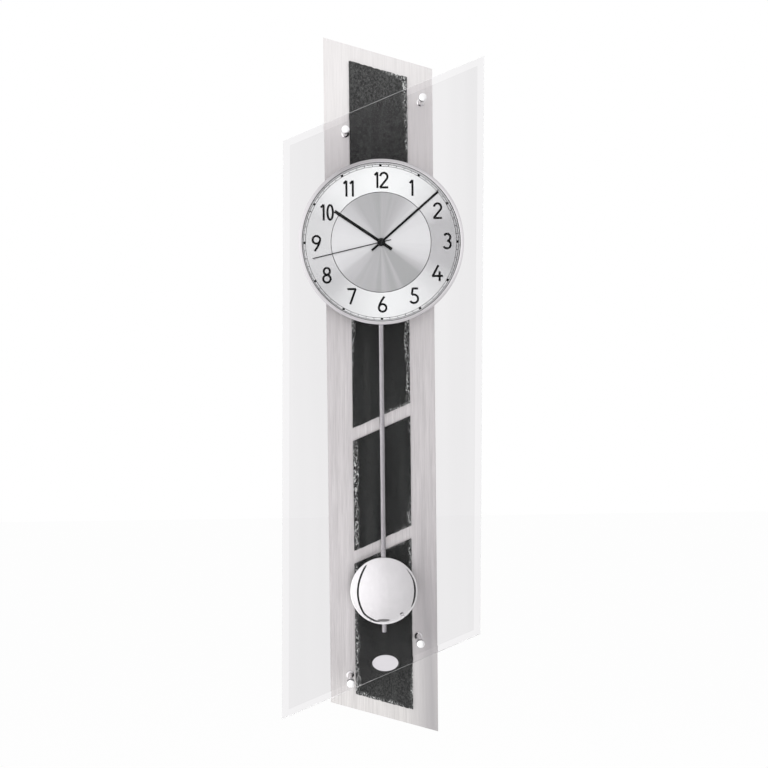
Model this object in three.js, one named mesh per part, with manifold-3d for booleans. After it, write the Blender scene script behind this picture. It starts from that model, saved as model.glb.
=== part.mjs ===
// Wall clock with a pendulum. A slanted brushed panel carries slate plates and, on four stand-offs,
// a bevelled glass pane. The dial case sits on the front of the glass and the quartz movement behind
// it, held together by one nut. The pendulum hangs from the movement, between glass and slate.
//
// Sizes are millimetres and angles degrees. While a piece is built, X runs to the right, Y up and
// Z out of the wall towards the viewer, and X = Y = 0 is the axis of the hands. The last lines turn
// the clock so that +Z is up and its front faces -Y, with the hanger plate at the origin.

import * as THREE from 'three';
import { mergeVertices } from 'three/addons/utils/BufferGeometryUtils.js';
import Module from 'manifold-3d';

// Fits
const seat = 0.05; // left between faces that rest on each other
const playFit = 0.3; // round a piece that turns or drops into its place
const pressFit = 0.03; // between a shaft and what is pressed on it
const overcut = 2; // how far a cutting shape runs past the surface it opens

// Panel: a board with a brushed metal facing
const panelWidth = 108.6;
const panelSide = 668.5; // length of each upright edge
const panelEdgeAngle = -16.3; // the top and bottom edges fall to the right
const panelCentreY = -144; // middle of the panel and of the glass, seen from the hands' axis
const boardThickness = 9;
const facingThickness = 1;
const serviceMargin = 1; // the opening behind the movement is wider than it by this on each side
const serviceHeight = 80;

// Slate plates
const slateWidth = 58;
const slateThickness = 5;
const slateChamfer = 0.8;
const slateEndMargin = 16; // from the panel's slanted ends to the first and last plate
const slateJointAngle = 23.3; // the joints rise to the right, like the edges of the glass
const slateJointGap = 13; // measured upright
const slateUpperJointY = -178.5;
const slatePitch = 124; // from the upper joint to the lower one
const slateMovementGap = 60; // from the hands' axis to the plate ends behind the dial

// Hanger plate with a keyhole, and pads that keep the lower end level with it
const hangerY = 130;
const hangerThickness = 1.5;
const hangerWidth = 46;
const hangerAbove = 9; // plate edge above the origin
const hangerBelow = 27; // plate edge below the origin
const keyholeTop = 4; // from the origin down to the slot's bearing
const keyholeSlotWidth = 4.8;
const keyholeEntryRadius = 5;
const keyholeDrop = 13; // from the slot's top to the middle of the entry hole
const pocketMargin = 2; // room round the keyhole for the head of the wall screw
const pocketDepth = 6;
const hangerScrewX = 17;
const hangerScrewY = -9;
const padRadius = 6;
const padX = 38;
const padRise = 31.25; // from the middle of the panel's lower edge up to the pads

// Countersunk screws
const screwShank = 1.4;
const screwHead = 3;
const screwRim = 0.3;
const hangerScrewLength = 8;
const standoffScrewLength = 20;

// Stand-offs: post, cushioning bush and domed cap. Each stands beside the slate plates by its own gap,
// and by another from the upper (end 1) or lower (end -1) edge of the glass.
const standoffs = {
  top_left: { side: -1, end: 1, slateGap: 0.3, edgeGap: 16.2 },
  top_right: { side: 1, end: 1, slateGap: 9.2, edgeGap: 16.9 },
  bottom_left: { side: -1, end: -1, slateGap: 1.4, edgeGap: 8.2 },
  bottom_right: { side: 1, end: -1, slateGap: 2, edgeGap: 17.8 },
};
const postLength = 38;
const postRadius = 2.6;
const postEndRadius = 4;
const postEndHeight = 2.4;
const postTaper = 0.9;
const bushFlange = 0.8;
const bushSleeveWall = 0.8;
const capRadius = 4;
const capEdge = 0.8;
const capHeight = 2.8;
const capStud = 1.6;
const capStudEngagement = 8;

// Glass pane
const glassWidth = 196;
const glassSide = 568.5;
const glassEdgeAngle = 23.3;
const glassTurn = 0.85; // the pane hangs turned a little clockwise against the panel
const glassThickness = 4;
const glassBevelWidth = 6.7;
const glassBevelDepth = 1.6;

// Dial case, bezel and lens
const caseInnerRadius = 76.6;
const caseRimWidth = 3.6;
const caseFloor = 1.2;
const dialLedgeWidth = 5;
const dialNutGap = 0.6; // from the movement's nut to the dial plate
const lensRebate = 1.6;
const lensThickness = 2;
const bezelHeight = 1.6;
const bezelRound = 0.6;
const dialThickness = 0.8;
const discRadius = 48.5;
const discThickness = 0.5;

// Hands, showing eight minutes past ten
const hourAngle = 304.1;
const minuteAngle = 49;
const secondAngle = 257;
const hourReach = 5.7; // past the edge of the centre disc
const hourTail = 12.5;
const hourWidth = 3;
const minuteTipGap = 2.5; // from the tip to the wall of the case
const minuteTail = 12.2;
const minuteWidth = 2.2;
const secondTipGap = 8;
const secondTail = 9.8;
const secondWidth = 0.9;
const secondThickness = 0.3;
const handThickness = 0.6;
const handGap = 0.5; // between one hand's hub and the next
const handDialGap = 1; // from the dial to the hour hand
const handLensGap = 0.8;
const hubRadius = 3.9;
const hubHeight = 1.1;
const bossCrown = 2.3; // radius of the flat on top of the second hand's boss
const bossEdge = 0.55;
const bossBore = 0.55;
const hourPipe = 2.5; // outer radii of the coaxial arbors
const minutePipe = 1.5;
const secondArbor = 0.6;

// Quartz movement: moulded shell, rear cover and threaded tube
const movementDepth = 16.6;
const trainTop = 17; // upper wall of the gear bay, above the hands' axis
const coilWallGap = 2.4; // from the pendulum coil to the shell's lower wall
const innerGap = 1.4; // from the stator and the circuit board to the shell's walls
const shellWall = 1.6;
const coverThickness = 1.5;
const tubeRadius = 4;
const nutAcrossFlats = 11;
const nutHeight = 2;
const bossHeight = 1.7;
const bossWall = 0.9;
const pillarSize = 3.6;
const minutePivotLength = 0.4;

// Gear train. The first four teeth counts turn the hour hand once for twelve turns of the minute
// hand, and the others turn the rotor thirty times for one turn of the second hand.
const cannonTeeth = 12;
const minuteWheelTeeth = 36;
const minutePinionTeeth = 10;
const hourWheelTeeth = 40;
const motionDistance = 12; // from the hands' axis to the minute wheel
const secondsTeeth = 30;
const stepPinionTeeth = 6;
const secondsDistance = 9; // from the hands' axis to the intermediate wheel
const intermediateTeeth = 36;
const rotorTeeth = 6;
const rotorDistance = 8.4; // from the intermediate wheel to the rotor
const rotorDirection = 210;
const gearThickness = 1.5;
const fineGearThickness = 1;
const pinionOverhang = 0.2; // a pinion stands past its wheel on both faces
const trainGap = 0.4; // between parts that turn past each other
const toothAddendum = 0.85; // tooth height past the pitch circle and below it, in modules
const toothDedendum = 1.1;
const toothRootShare = 0.54; // tooth width at root and tip, as a share of the pitch
const toothTipShare = 0.2;
const trainPlateThickness = 1;
const trainPlateBottom = -13;
const minuteShaft = 1.2;
const finePivot = 0.5;
const rotorRadius = 2.5;
const rotorLength = 2;
const knobRadius = 6.5;
const knobHeight = 5;
const knobBore = 2.5; // how deep the shaft goes into the knob
const knobRibs = 18;
const knobRibDepth = 0.5;

// Electrical pieces of the movement
const statorThickness = 1.2;
const statorPoleMargin = 1.8; // metal round the rotor
const statorLegWidth = 4;
const statorLegY = -20;
const statorLegRight = 0;
const coilRadius = 3.5;
const coilFlange = 0.7; // how far and how thick the bobbin's flanges stand out
const coilLength = 15;
const circuitWidth = 16;
const circuitGap = 2; // from the train plate down to the circuit board
const circuitThickness = 1;
const chipSize = 6;
const chipHeight = 1.2;
const crystalRadius = 1.5;
const crystalLength = 8;
const crystalSink = 0.75;
const batteryRadius = 7.1;
const batteryLength = 50.5;
const batteryNub = 2.7;
const batteryNubLength = 1.5;
const bayClearance = 0.8;
const contactThickness = 0.6;
const contactHeight = 12;
const contactWidth = 10;
const contactSpring = 2.9; // length of the pressed spring on the minus contact
const springRootRadius = 4;
const springTipRadius = 2;
const driveCoilRadius = 6;
const driveCoilBore = 2;
const driveCoilHeight = 4.4;

// Pendulum
const pivotY = -20;
const pivotRadius = 1;
const pivotHeadRadius = 2;
const pivotHeadHeight = 1;
const pivotBoss = 1; // how far the cover's bearing boss stands out
const pivotBossWall = 1.8;
const armThickness = 1.2;
const armWidth = 6;
const armLength = 36; // from the pivot down to the stud that carries the rod
const armStud = 1;
const magnetRadius = 4.5;
const magnetThickness = 1.4;
const magnetDrop = 14; // from the pivot down to the magnet
const rodRadius = 2.5;
const rodChamfer = 0.5;
const rodAboveStud = 5;
const rodEndY = -388.6;
const bobY = -346.3;
const bobRadius = 33.5;
const bobDome = 9.5;
const bobRim = 2;
const bobSheet = 0.9;
const bobBackThickness = 1.2;
const clipWidth = 9;
const clipHeight = 18;
const clipWall = 1.4;

// Facets of round pieces
const dialSides = 44;
const bobSides = 36;
const roundSides = 12;
const smallSides = 10;
const capSteps = 4;
const bobSteps = 5;

// Depths from the wall, each worked out from the piece before it
const boardBack = hangerThickness + seat;
const boardFront = boardBack + boardThickness;
const facingBack = boardFront + seat;
const facingFront = facingBack + facingThickness;
const slateBack = facingFront + seat;
const postBack = facingFront + seat;
const bushBack = postBack + postLength + seat;
const glassBack = bushBack + bushFlange + seat;
const glassFront = glassBack + glassThickness;
const capBack = glassFront + seat;
const caseBack = glassFront + seat;
const caseFloorFront = caseBack + caseFloor;
const ledgeFront = caseFloorFront + nutHeight + dialNutGap;
const dialBack = ledgeFront + seat;
const dialFront = dialBack + dialThickness;
const discBack = dialFront + seat;
const discFront = discBack + discThickness;
const hourHandBack = discFront + handDialGap;
const minuteHandBack = hourHandBack + hubHeight + handGap;
const secondHandBack = minuteHandBack + hubHeight + handGap;
const lensBack = secondHandBack + hubHeight + handLensGap;
const lensFront = lensBack + lensThickness;
const bezelBack = lensFront + seat;
const movementFront = glassBack - seat;
const movementBack = movementFront - movementDepth;
const shellBack = movementBack + coverThickness + seat;
const coverFront = movementBack + coverThickness;
const cavityFront = movementFront - shellWall;
const pillarRoot = (cavityFront + movementFront) / 2;
const tubeFront = caseFloorFront + nutHeight + seat;
const hourWheelFront = cavityFront - trainGap - pinionOverhang;
const hourWheelBack = hourWheelFront - gearThickness;
const cannonFront = hourWheelBack - trainGap;
const minuteWheelFront = cannonFront - pinionOverhang;
const minuteWheelBack = minuteWheelFront - gearThickness;
const cannonBack = minuteWheelBack - pinionOverhang;
const trainPlateFront = cannonBack - trainGap;
const trainPlateBack = trainPlateFront - trainPlateThickness;
const statorFront = trainPlateBack - seat;
const statorBack = statorFront - statorThickness;
const secondsFront = trainPlateBack - 2 * trainGap;
const secondsBack = secondsFront - fineGearThickness;
const intermediateFront = secondsBack - pinionOverhang - 2 * trainGap;
const intermediateBack = intermediateFront - fineGearThickness;
const rotorFront = intermediateFront + pinionOverhang + trainGap + rotorLength;
const finePivotBack = coverFront + 2 * trainGap;
const finePivotFront = trainPlateFront - seat;
const knobFront = movementBack - trainGap;
const knobBack = knobFront - knobHeight;
const knobShaftBack = knobFront - knobBore;
const bossBack = movementBack - pivotBoss;
const magnetFront = movementBack - trainGap;
const magnetBack = magnetFront - magnetThickness;
const armFront = magnetBack - seat;
const armBack = armFront - armThickness;
const rodDepth = armBack - playFit - rodRadius;
const bobShellBack = rodDepth + rodRadius + playFit;
const bobBackFront = bobShellBack + bobRim;

// Places in the plane of the dial
const caseRadius = caseInnerRadius + caseRimWidth;
const batteryDepth = cavityFront - playFit - batteryRadius;
const bayBottom = trainTop + shellWall;
const bayTop = bayBottom + 2 * (batteryRadius + bayClearance);
const batteryY = (bayTop + bayBottom) / 2;
const movementTop = bayTop + shellWall;
const trainBottom = pivotY - magnetDrop - driveCoilRadius - coilWallGap;
const movementBottom = trainBottom - shellWall;
const cavityHalf = (batteryLength + contactSpring) / 2 + contactThickness + 2 * seat;
const movementWidth = 2 * (cavityHalf + shellWall);
const contactX = cavityHalf - seat - contactThickness;
const circuitRight = cavityHalf - innerGap;
const circuitLeft = circuitRight - circuitWidth;
const circuitTop = trainPlateBottom - circuitGap;
const circuitBottom = trainBottom + innerGap;
const statorLeft = innerGap - cavityHalf;
const intermediatePlace = new THREE.Vector2(-secondsDistance, 0);
const rotorPlace = new THREE.Vector2(rotorDistance, 0)
  .rotateAround(new THREE.Vector2(), degrees(rotorDirection))
  .add(intermediatePlace);

function standoffPlace({ side, end, slateGap, edgeGap }) {
  const x = side * (slateWidth / 2 + slateGap + postEndRadius);
  const rise = x * Math.tan(degrees(glassEdgeAngle - glassTurn));
  return new THREE.Vector2(x, panelCentreY + end * (glassSide / 2 - edgeGap) + rise);
}

const standoffPlaces = Object.values(standoffs).map(standoffPlace);

// Joining and cutting of closed shapes
const wasm = await Module();
wasm.setup();

function degrees(angle) {
  return THREE.MathUtils.degToRad(angle);
}

function signedVolume(positions, triangles) {
  const a = new THREE.Vector3();
  const b = new THREE.Vector3();
  const c = new THREE.Vector3();
  let volume = 0;
  for (let i = 0; i < triangles.length; i += 3) {
    a.fromArray(positions, 3 * triangles[i]);
    b.fromArray(positions, 3 * triangles[i + 1]);
    c.fromArray(positions, 3 * triangles[i + 2]);
    volume += a.dot(b.cross(c)) / 6;
  }
  return volume;
}

// A closed geometry becomes a solid whose faces point outwards.
function toSolid(geometry) {
  const bare = geometry.clone();
  for (const name of Object.keys(bare.attributes)) {
    if (name !== 'position') bare.deleteAttribute(name);
  }
  const merged = mergeVertices(bare);
  const positions = new Float32Array(merged.attributes.position.array);
  const kept = [];
  const index = merged.index.array;
  for (let i = 0; i < index.length; i += 3) {
    const [a, b, c] = [index[i], index[i + 1], index[i + 2]];
    if (a !== b && b !== c && c !== a) kept.push(a, b, c);
  }
  if (signedVolume(positions, kept) < 0) kept.reverse();
  const mesh = new wasm.Mesh({ numProp: 3, vertProperties: positions, triVerts: new Uint32Array(kept) });
  return new wasm.Manifold(mesh);
}

function toGeometry(solid) {
  const mesh = solid.getMesh();
  const geometry = new THREE.BufferGeometry();
  geometry.setAttribute('position', new THREE.BufferAttribute(new Float32Array(mesh.vertProperties), 3));
  geometry.setIndex(new THREE.BufferAttribute(new Uint32Array(mesh.triVerts), 1));
  geometry.computeVertexNormals();
  return geometry;
}

function join(first, ...others) {
  const sum = others.reduce((solid, other) => solid.add(toSolid(other)), toSolid(first));
  return toGeometry(sum);
}

function cut(base, ...tools) {
  const rest = tools.reduce((solid, tool) => solid.subtract(toSolid(tool)), toSolid(base));
  return toGeometry(rest);
}

// Basic forms
function at(geometry, x, y, z = 0) {
  return geometry.clone().translate(x, y, z);
}

// A plate of the given outline between two depths.
function plate(shape, back, front) {
  const settings = { depth: front - back, bevelEnabled: false, curveSegments: roundSides };
  return new THREE.ExtrudeGeometry(shape, settings).translate(0, 0, back);
}

// A turned piece. The profile lists radius and depth, and closes on itself or on the axis.
function turned(profile, sides) {
  const points = profile.map(([radius, depth]) => new THREE.Vector2(radius, depth));
  if (points[0].x > 0) points.push(points[0].clone());
  return new THREE.LatheGeometry(points, sides).rotateX(Math.PI / 2);
}

function disc(radius, back, front, sides = roundSides) {
  return turned([[0, back], [radius, back], [radius, front], [0, front]], sides);
}

function ring(inner, outer, back, front, sides = roundSides) {
  return turned([[inner, back], [outer, back], [outer, front], [inner, front]], sides);
}

function block(left, right, bottom, top, back, front) {
  const box = new THREE.BoxGeometry(right - left, top - bottom, front - back);
  return box.translate((left + right) / 2, (bottom + top) / 2, (back + front) / 2);
}

// The radius of a faceted bore that clears a round shaft by the given play.
function boreFor(radius, play, sides = roundSides) {
  return (radius + play) / Math.cos(Math.PI / sides);
}

// An outline with upright sides and slanted ends. Each end has its height on the centre line and an angle.
function uprightQuad(width, low, high) {
  const half = width / 2;
  const corner = (x, end) => new THREE.Vector2(x, end.y + x * Math.tan(degrees(end.angle)));
  return [corner(-half, low), corner(half, low), corner(half, high), corner(-half, high)];
}

// The same outline drawn in by an equal margin on all four sides.
function insetQuad(width, low, high, margin) {
  const rise = (end) => margin / Math.cos(degrees(end.angle));
  const drawnLow = { ...low, y: low.y + rise(low) };
  const drawnHigh = { ...high, y: high.y - rise(high) };
  return uprightQuad(width - 2 * margin, drawnLow, drawnHigh);
}

// A solid through outlines of equal point count at rising depths.
function loft(sections) {
  const count = sections[0].points.length;
  const positions = sections.flatMap(({ points, depth }) => points.flatMap((p) => [p.x, p.y, depth]));
  const index = [];
  for (let level = 0; level + 1 < sections.length; level += 1) {
    for (let i = 0; i < count; i += 1) {
      const a = level * count + i;
      const b = level * count + ((i + 1) % count);
      index.push(a, b, b + count, a, b + count, a + count);
    }
  }
  const last = (sections.length - 1) * count;
  for (let i = 1; i + 1 < count; i += 1) {
    index.push(0, i + 1, i, last, last + i, last + i + 1);
  }
  const geometry = new THREE.BufferGeometry();
  geometry.setAttribute('position', new THREE.Float32BufferAttribute(positions, 3));
  geometry.setIndex(index);
  return geometry;
}

// A countersunk screw with its head at depth 0, and the hole that takes it.
function countersunkScrew(length) {
  const neck = screwRim + screwHead - screwShank;
  const tip = length - screwShank;
  return turned(
    [[0, 0], [screwHead, 0], [screwHead, screwRim], [screwShank, neck], [screwShank, tip], [0, length]],
    smallSides,
  );
}

function countersunkHole(length) {
  const head = boreFor(screwHead, playFit, smallSides);
  const shank = boreFor(screwShank, playFit, smallSides);
  const neck = screwRim + head - shank;
  return turned(
    [[0, -overcut], [head, -overcut], [head, screwRim], [shank, neck], [shank, length], [0, length]],
    smallSides,
  );
}

// Finishes
function finish(color, roughness, metalness, opacity = 1) {
  return new THREE.MeshStandardMaterial({ color, roughness, metalness, opacity, transparent: opacity < 1 });
}

const finishes = {
  board: finish('#8b8479', 0.9, 0),
  brushed: finish('#c3c2be', 0.4, 0.9),
  slate: finish('#3a3c3b', 0.75, 0),
  glass: finish('#e4ebea', 0.05, 0, 0.3),
  chrome: finish('#d7d9dc', 0.12, 1),
  satin: finish('#c9cbcc', 0.35, 0.9),
  dial: finish('#e6e7e6', 0.45, 0.5),
  black: finish('#141414', 0.45, 0),
  steel: finish('#a9abad', 0.4, 1),
  clear: finish('#dfe3e2', 0.2, 0, 0.6),
  rubber: finish('#2b2b2b', 0.9, 0),
  moulding: finish('#1f2022', 0.6, 0),
  gear: finish('#e9e6dc', 0.5, 0),
  copper: finish('#b3643a', 0.35, 0.8),
  circuit: finish('#1f5a38', 0.5, 0),
  cell: finish('#6d7176', 0.4, 0.5),
  magnet: finish('#3f4043', 0.5, 0.6),
};

const clock = new THREE.Group();

function addPiece(parent, name, geometry, material) {
  const mesh = new THREE.Mesh(toGeometry(toSolid(geometry)), material);
  mesh.name = name;
  parent.add(mesh);
  return mesh;
}

function addGroup(parent, x, y, z = 0) {
  const group = new THREE.Group();
  group.position.set(x, y, z);
  parent.add(group);
  return group;
}

// Panel: board with hanger pocket, service opening and screw holes, and its metal facing
const panelLow = { y: panelCentreY - panelSide / 2, angle: panelEdgeAngle };
const panelHigh = { y: panelCentreY + panelSide / 2, angle: panelEdgeAngle };
const panelOutline = new THREE.Shape(uprightQuad(panelWidth, panelLow, panelHigh));
const keyholeBearingY = hangerY - keyholeTop;
const keyholeEntryY = keyholeBearingY - keyholeDrop;
const postScrewDepth = standoffScrewLength - (postBack - boardBack);

function serviceOpening() {
  const half = { x: movementWidth / 2 + serviceMargin, y: serviceHeight / 2 };
  return block(-half.x, half.x, -half.y, half.y, boardBack - overcut, facingFront + overcut);
}

function backBoard() {
  const pocketHalf = keyholeEntryRadius + pocketMargin;
  const pocketTop = keyholeBearingY + pocketMargin;
  const pocketBottom = keyholeEntryY - pocketHalf;
  const pocketFront = boardBack + pocketDepth;
  const pocket = block(-pocketHalf, pocketHalf, pocketBottom, pocketTop, boardBack - overcut, pocketFront);
  const postHoles = standoffPlaces.map(({ x, y }) =>
    at(countersunkHole(standoffScrewLength), x, y, boardBack),
  );
  const pilotRadius = boreFor(screwShank, playFit, smallSides);
  const pilotFront = hangerScrewLength + playFit;
  const pilots = [-1, 1].map((side) =>
    at(disc(pilotRadius, 0, pilotFront, smallSides), side * hangerScrewX, hangerY + hangerScrewY),
  );
  return cut(plate(panelOutline, boardBack, boardFront), serviceOpening(), pocket, ...postHoles, ...pilots);
}

function facingSheet() {
  const holeRadius = boreFor(screwShank, playFit, smallSides);
  const holes = standoffPlaces.map(({ x, y }) =>
    at(disc(holeRadius, facingBack - overcut, facingFront + overcut, smallSides), x, y),
  );
  return cut(plate(panelOutline, facingBack, facingFront), serviceOpening(), ...holes);
}

function hangerPlate() {
  const half = hangerWidth / 2;
  const body = block(-half, half, hangerY - hangerBelow, hangerY + hangerAbove, 0, hangerThickness);
  const slotHalf = keyholeSlotWidth / 2;
  const entry = at(disc(keyholeEntryRadius, -overcut, hangerThickness + overcut), 0, keyholeEntryY);
  const slotTop = at(disc(slotHalf, -overcut, hangerThickness + overcut), 0, keyholeBearingY - slotHalf);
  const slot = block(
    -slotHalf,
    slotHalf,
    keyholeEntryY,
    keyholeBearingY - slotHalf,
    -overcut,
    hangerThickness + overcut,
  );
  const screwHoles = [-1, 1].map((side) =>
    at(countersunkHole(hangerScrewLength), side * hangerScrewX, hangerY + hangerScrewY),
  );
  return cut(body, entry, slotTop, slot, ...screwHoles);
}

addPiece(clock, 'back_board', backBoard(), finishes.board);
addPiece(clock, 'facing_sheet', facingSheet(), finishes.brushed);
addPiece(clock, 'hanger_plate', hangerPlate(), finishes.steel);
for (const [side, sign] of [['left', -1], ['right', 1]]) {
  const screw = addPiece(clock, `hanger_screw_${side}`, countersunkScrew(hangerScrewLength), finishes.steel);
  screw.position.set(sign * hangerScrewX, hangerY + hangerScrewY, seat);
  const pad = addPiece(clock, `wall_pad_${side}`, disc(padRadius, 0, hangerThickness), finishes.rubber);
  pad.position.set(sign * padX, panelLow.y + padRise, 0);
}

// Slate plates: both ends follow the panel, the joints between follow the glass
function slatePlate(low, high) {
  const slateFront = slateBack + slateThickness;
  const full = uprightQuad(slateWidth, low, high);
  const drawn = insetQuad(slateWidth, low, high, slateChamfer);
  return loft([
    { points: full, depth: slateBack },
    { points: full, depth: slateFront - slateChamfer },
    { points: drawn, depth: slateFront },
  ]);
}

const slateTop = { y: panelHigh.y - slateEndMargin, angle: panelEdgeAngle };
const slateFoot = { y: panelLow.y + slateEndMargin, angle: panelEdgeAngle };
const slateLowerJointY = slateUpperJointY - slatePitch;
const jointEnd = (y) => ({ y, angle: slateJointAngle });
const aboveJoint = (y) => jointEnd(y + slateJointGap / 2);
const belowJoint = (y) => jointEnd(y - slateJointGap / 2);
const slateEnds = {
  slate_top: [jointEnd(slateMovementGap), slateTop],
  slate_upper: [aboveJoint(slateUpperJointY), jointEnd(-slateMovementGap)],
  slate_lower: [aboveJoint(slateLowerJointY), belowJoint(slateUpperJointY)],
  slate_bottom: [slateFoot, belowJoint(slateLowerJointY)],
};
for (const [name, [low, high]] of Object.entries(slateEnds)) {
  addPiece(clock, name, slatePlate(low, high), finishes.slate);
}

// Stand-offs: each post is screwed on from behind, and its cap clamps the glass through the bush
const bushBore = boreFor(capStud, playFit);
const bushSleeve = bushBore + bushSleeveWall;
const glassHole = boreFor(bushSleeve, playFit);

function standoffPost() {
  const screwBore = boreFor(screwShank, pressFit, smallSides);
  const studBore = boreFor(capStud, pressFit);
  const screwBottom = postScrewDepth + playFit;
  const studBottom = postLength - capStudEngagement - playFit;
  const shoulder = postEndHeight + postTaper;
  return turned(
    [
      [0, screwBottom],
      [screwBore, screwBottom],
      [screwBore, 0],
      [postEndRadius, 0],
      [postEndRadius, postEndHeight],
      [postRadius, shoulder],
      [postRadius, postLength - shoulder],
      [postEndRadius, postLength - postEndHeight],
      [postEndRadius, postLength],
      [studBore, postLength],
      [studBore, studBottom],
      [0, studBottom],
    ],
    roundSides,
  );
}

function glassBush() {
  const sleeveEnd = bushFlange + glassThickness;
  return turned(
    [
      [bushBore, 0],
      [postEndRadius, 0],
      [postEndRadius, bushFlange],
      [bushSleeve, bushFlange],
      [bushSleeve, sleeveEnd],
      [bushBore, sleeveEnd],
    ],
    roundSides,
  );
}

function standoffCap() {
  const studLength = capBack - (postBack + postLength) + capStudEngagement;
  const stud = [[0, -studLength], [capStud, -studLength], [capStud, 0], [capRadius, 0]];
  const dome = [];
  for (let i = 0; i <= capSteps; i += 1) {
    const angle = ((i / capSteps) * Math.PI) / 2;
    dome.push([capRadius * Math.cos(angle), capEdge + (capHeight - capEdge) * Math.sin(angle)]);
  }
  dome[capSteps][0] = 0;
  return turned([...stud, ...dome], roundSides);
}

for (const [index, place] of Object.keys(standoffs).entries()) {
  const standoff = addGroup(clock, standoffPlaces[index].x, standoffPlaces[index].y);
  const screw = countersunkScrew(standoffScrewLength);
  addPiece(standoff, `standoff_screw_${place}`, screw, finishes.steel).position.z = boardBack + seat;
  addPiece(standoff, `standoff_post_${place}`, standoffPost(), finishes.chrome).position.z = postBack;
  addPiece(standoff, `glass_bush_${place}`, glassBush(), finishes.clear).position.z = bushBack;
  addPiece(standoff, `standoff_cap_${place}`, standoffCap(), finishes.chrome).position.z = capBack;
}

// Glass pane: a slanted pane with a wide ground bevel, in a group of its own that is turned a little
const glassGroup = addGroup(clock, 0, panelCentreY, glassBack);
glassGroup.rotation.z = -degrees(glassTurn);

function placeOnGlass({ x, y }) {
  const middle = new THREE.Vector2();
  return new THREE.Vector2(x, y - panelCentreY).rotateAround(middle, degrees(glassTurn));
}

function glassPane() {
  const low = { y: -glassSide / 2, angle: glassEdgeAngle };
  const high = { y: glassSide / 2, angle: glassEdgeAngle };
  const full = uprightQuad(glassWidth, low, high);
  const pane = loft([
    { points: full, depth: 0 },
    { points: full, depth: glassThickness - glassBevelDepth },
    { points: insetQuad(glassWidth, low, high, glassBevelWidth), depth: glassThickness },
  ]);
  const hole = (radius, place) => {
    const centre = placeOnGlass(place);
    return at(disc(radius, -overcut, glassThickness + overcut), centre.x, centre.y);
  };
  const standoffHoles = standoffPlaces.map((place) => hole(glassHole, place));
  const tubeHole = hole(boreFor(tubeRadius, playFit), new THREE.Vector2());
  return cut(pane, tubeHole, ...standoffHoles);
}

addPiece(glassGroup, 'glass_pane', glassPane(), finishes.glass);

// Dial: turned case, lens and bezel, with the chapter plate and its centre disc on the case's ledge
const dialHole = hourPipe + playFit;
const lensSeatRadius = caseInnerRadius + lensRebate;

function dialCase() {
  const ledgeInner = caseInnerRadius - dialLedgeWidth;
  const tubeHole = boreFor(tubeRadius, playFit);
  return turned(
    [
      [tubeHole, caseBack],
      [caseRadius, caseBack],
      [caseRadius, lensFront],
      [lensSeatRadius, lensFront],
      [lensSeatRadius, lensBack - seat],
      [caseInnerRadius, lensBack - seat],
      [caseInnerRadius, ledgeFront],
      [ledgeInner, ledgeFront],
      [ledgeInner, caseFloorFront],
      [tubeHole, caseFloorFront],
    ],
    dialSides,
  );
}

function bezelRing() {
  const bezelFront = bezelBack + bezelHeight;
  return turned(
    [
      [caseInnerRadius, bezelBack],
      [caseRadius, bezelBack],
      [caseRadius, bezelFront - bezelRound],
      [caseRadius - bezelRound, bezelFront],
      [caseInnerRadius + bezelRound, bezelFront],
      [caseInnerRadius, bezelFront - bezelRound],
    ],
    dialSides,
  );
}

const lensRadius = lensSeatRadius - seat;
const dialRadius = caseInnerRadius - playFit;
addPiece(clock, 'dial_case', dialCase(), finishes.satin);
addPiece(clock, 'bezel_ring', bezelRing(), finishes.satin);
addPiece(clock, 'dial_lens', disc(lensRadius, lensBack, lensFront, dialSides), finishes.glass);
addPiece(clock, 'dial_plate', ring(dialHole, dialRadius, dialBack, dialFront, dialSides), finishes.dial);
addPiece(clock, 'centre_disc', ring(dialHole, discRadius, discBack, discFront, dialSides), finishes.satin);

// Movement housing: shell with threaded tube, rear cover with bearings, and the nut on the dial side
function movementShell() {
  const half = movementWidth / 2;
  const body = block(-half, half, movementBottom, movementTop, shellBack, movementFront);
  const tube = disc(tubeRadius, cavityFront, tubeFront);
  const trainCavity = block(-cavityHalf, cavityHalf, trainBottom, trainTop, shellBack - overcut, cavityFront);
  const batteryBay = block(-cavityHalf, cavityHalf, bayBottom, bayTop, shellBack - overcut, cavityFront);
  const tubeBore = disc(boreFor(hourPipe, playFit), shellBack, tubeFront + overcut);
  const pivotRadiusInShell = boreFor(finePivot, playFit, smallSides);
  const pivotBottom = cavityFront + minutePivotLength + trainGap;
  const minutePivot = disc(pivotRadiusInShell, cavityFront - overcut, pivotBottom, smallSides);
  const pivotHole = at(minutePivot, motionDistance, 0);
  const hollow = cut(join(body, tube), trainCavity, batteryBay, tubeBore, pivotHole);
  const pillar = (left, bottom, back) =>
    block(left, left + pillarSize, bottom, bottom + pillarSize, back, pillarRoot);
  const platePillars = [-cavityHalf, cavityHalf - pillarSize].flatMap((left) => [
    pillar(left, trainTop - pillarSize, trainPlateFront + seat),
    pillar(left, trainPlateBottom, trainPlateFront + seat),
  ]);
  const circuitPillars = [circuitBottom, circuitTop - pillarSize].map((bottom) =>
    pillar(circuitRight - pillarSize, bottom, circuitFront + seat),
  );
  return join(hollow, ...platePillars, ...circuitPillars);
}

function pivotBearing(place) {
  const outer = finePivot + playFit + bossWall;
  const inner = boreFor(finePivot, playFit, smallSides);
  const front = coverFront + bossHeight;
  const profile = [
    [0, movementBack + seat],
    [outer, movementBack + seat],
    [outer, front],
    [inner, front],
    [inner, coverFront + trainGap],
    [0, coverFront + trainGap],
  ];
  return at(turned(profile, smallSides), place.x, place.y);
}

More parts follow.
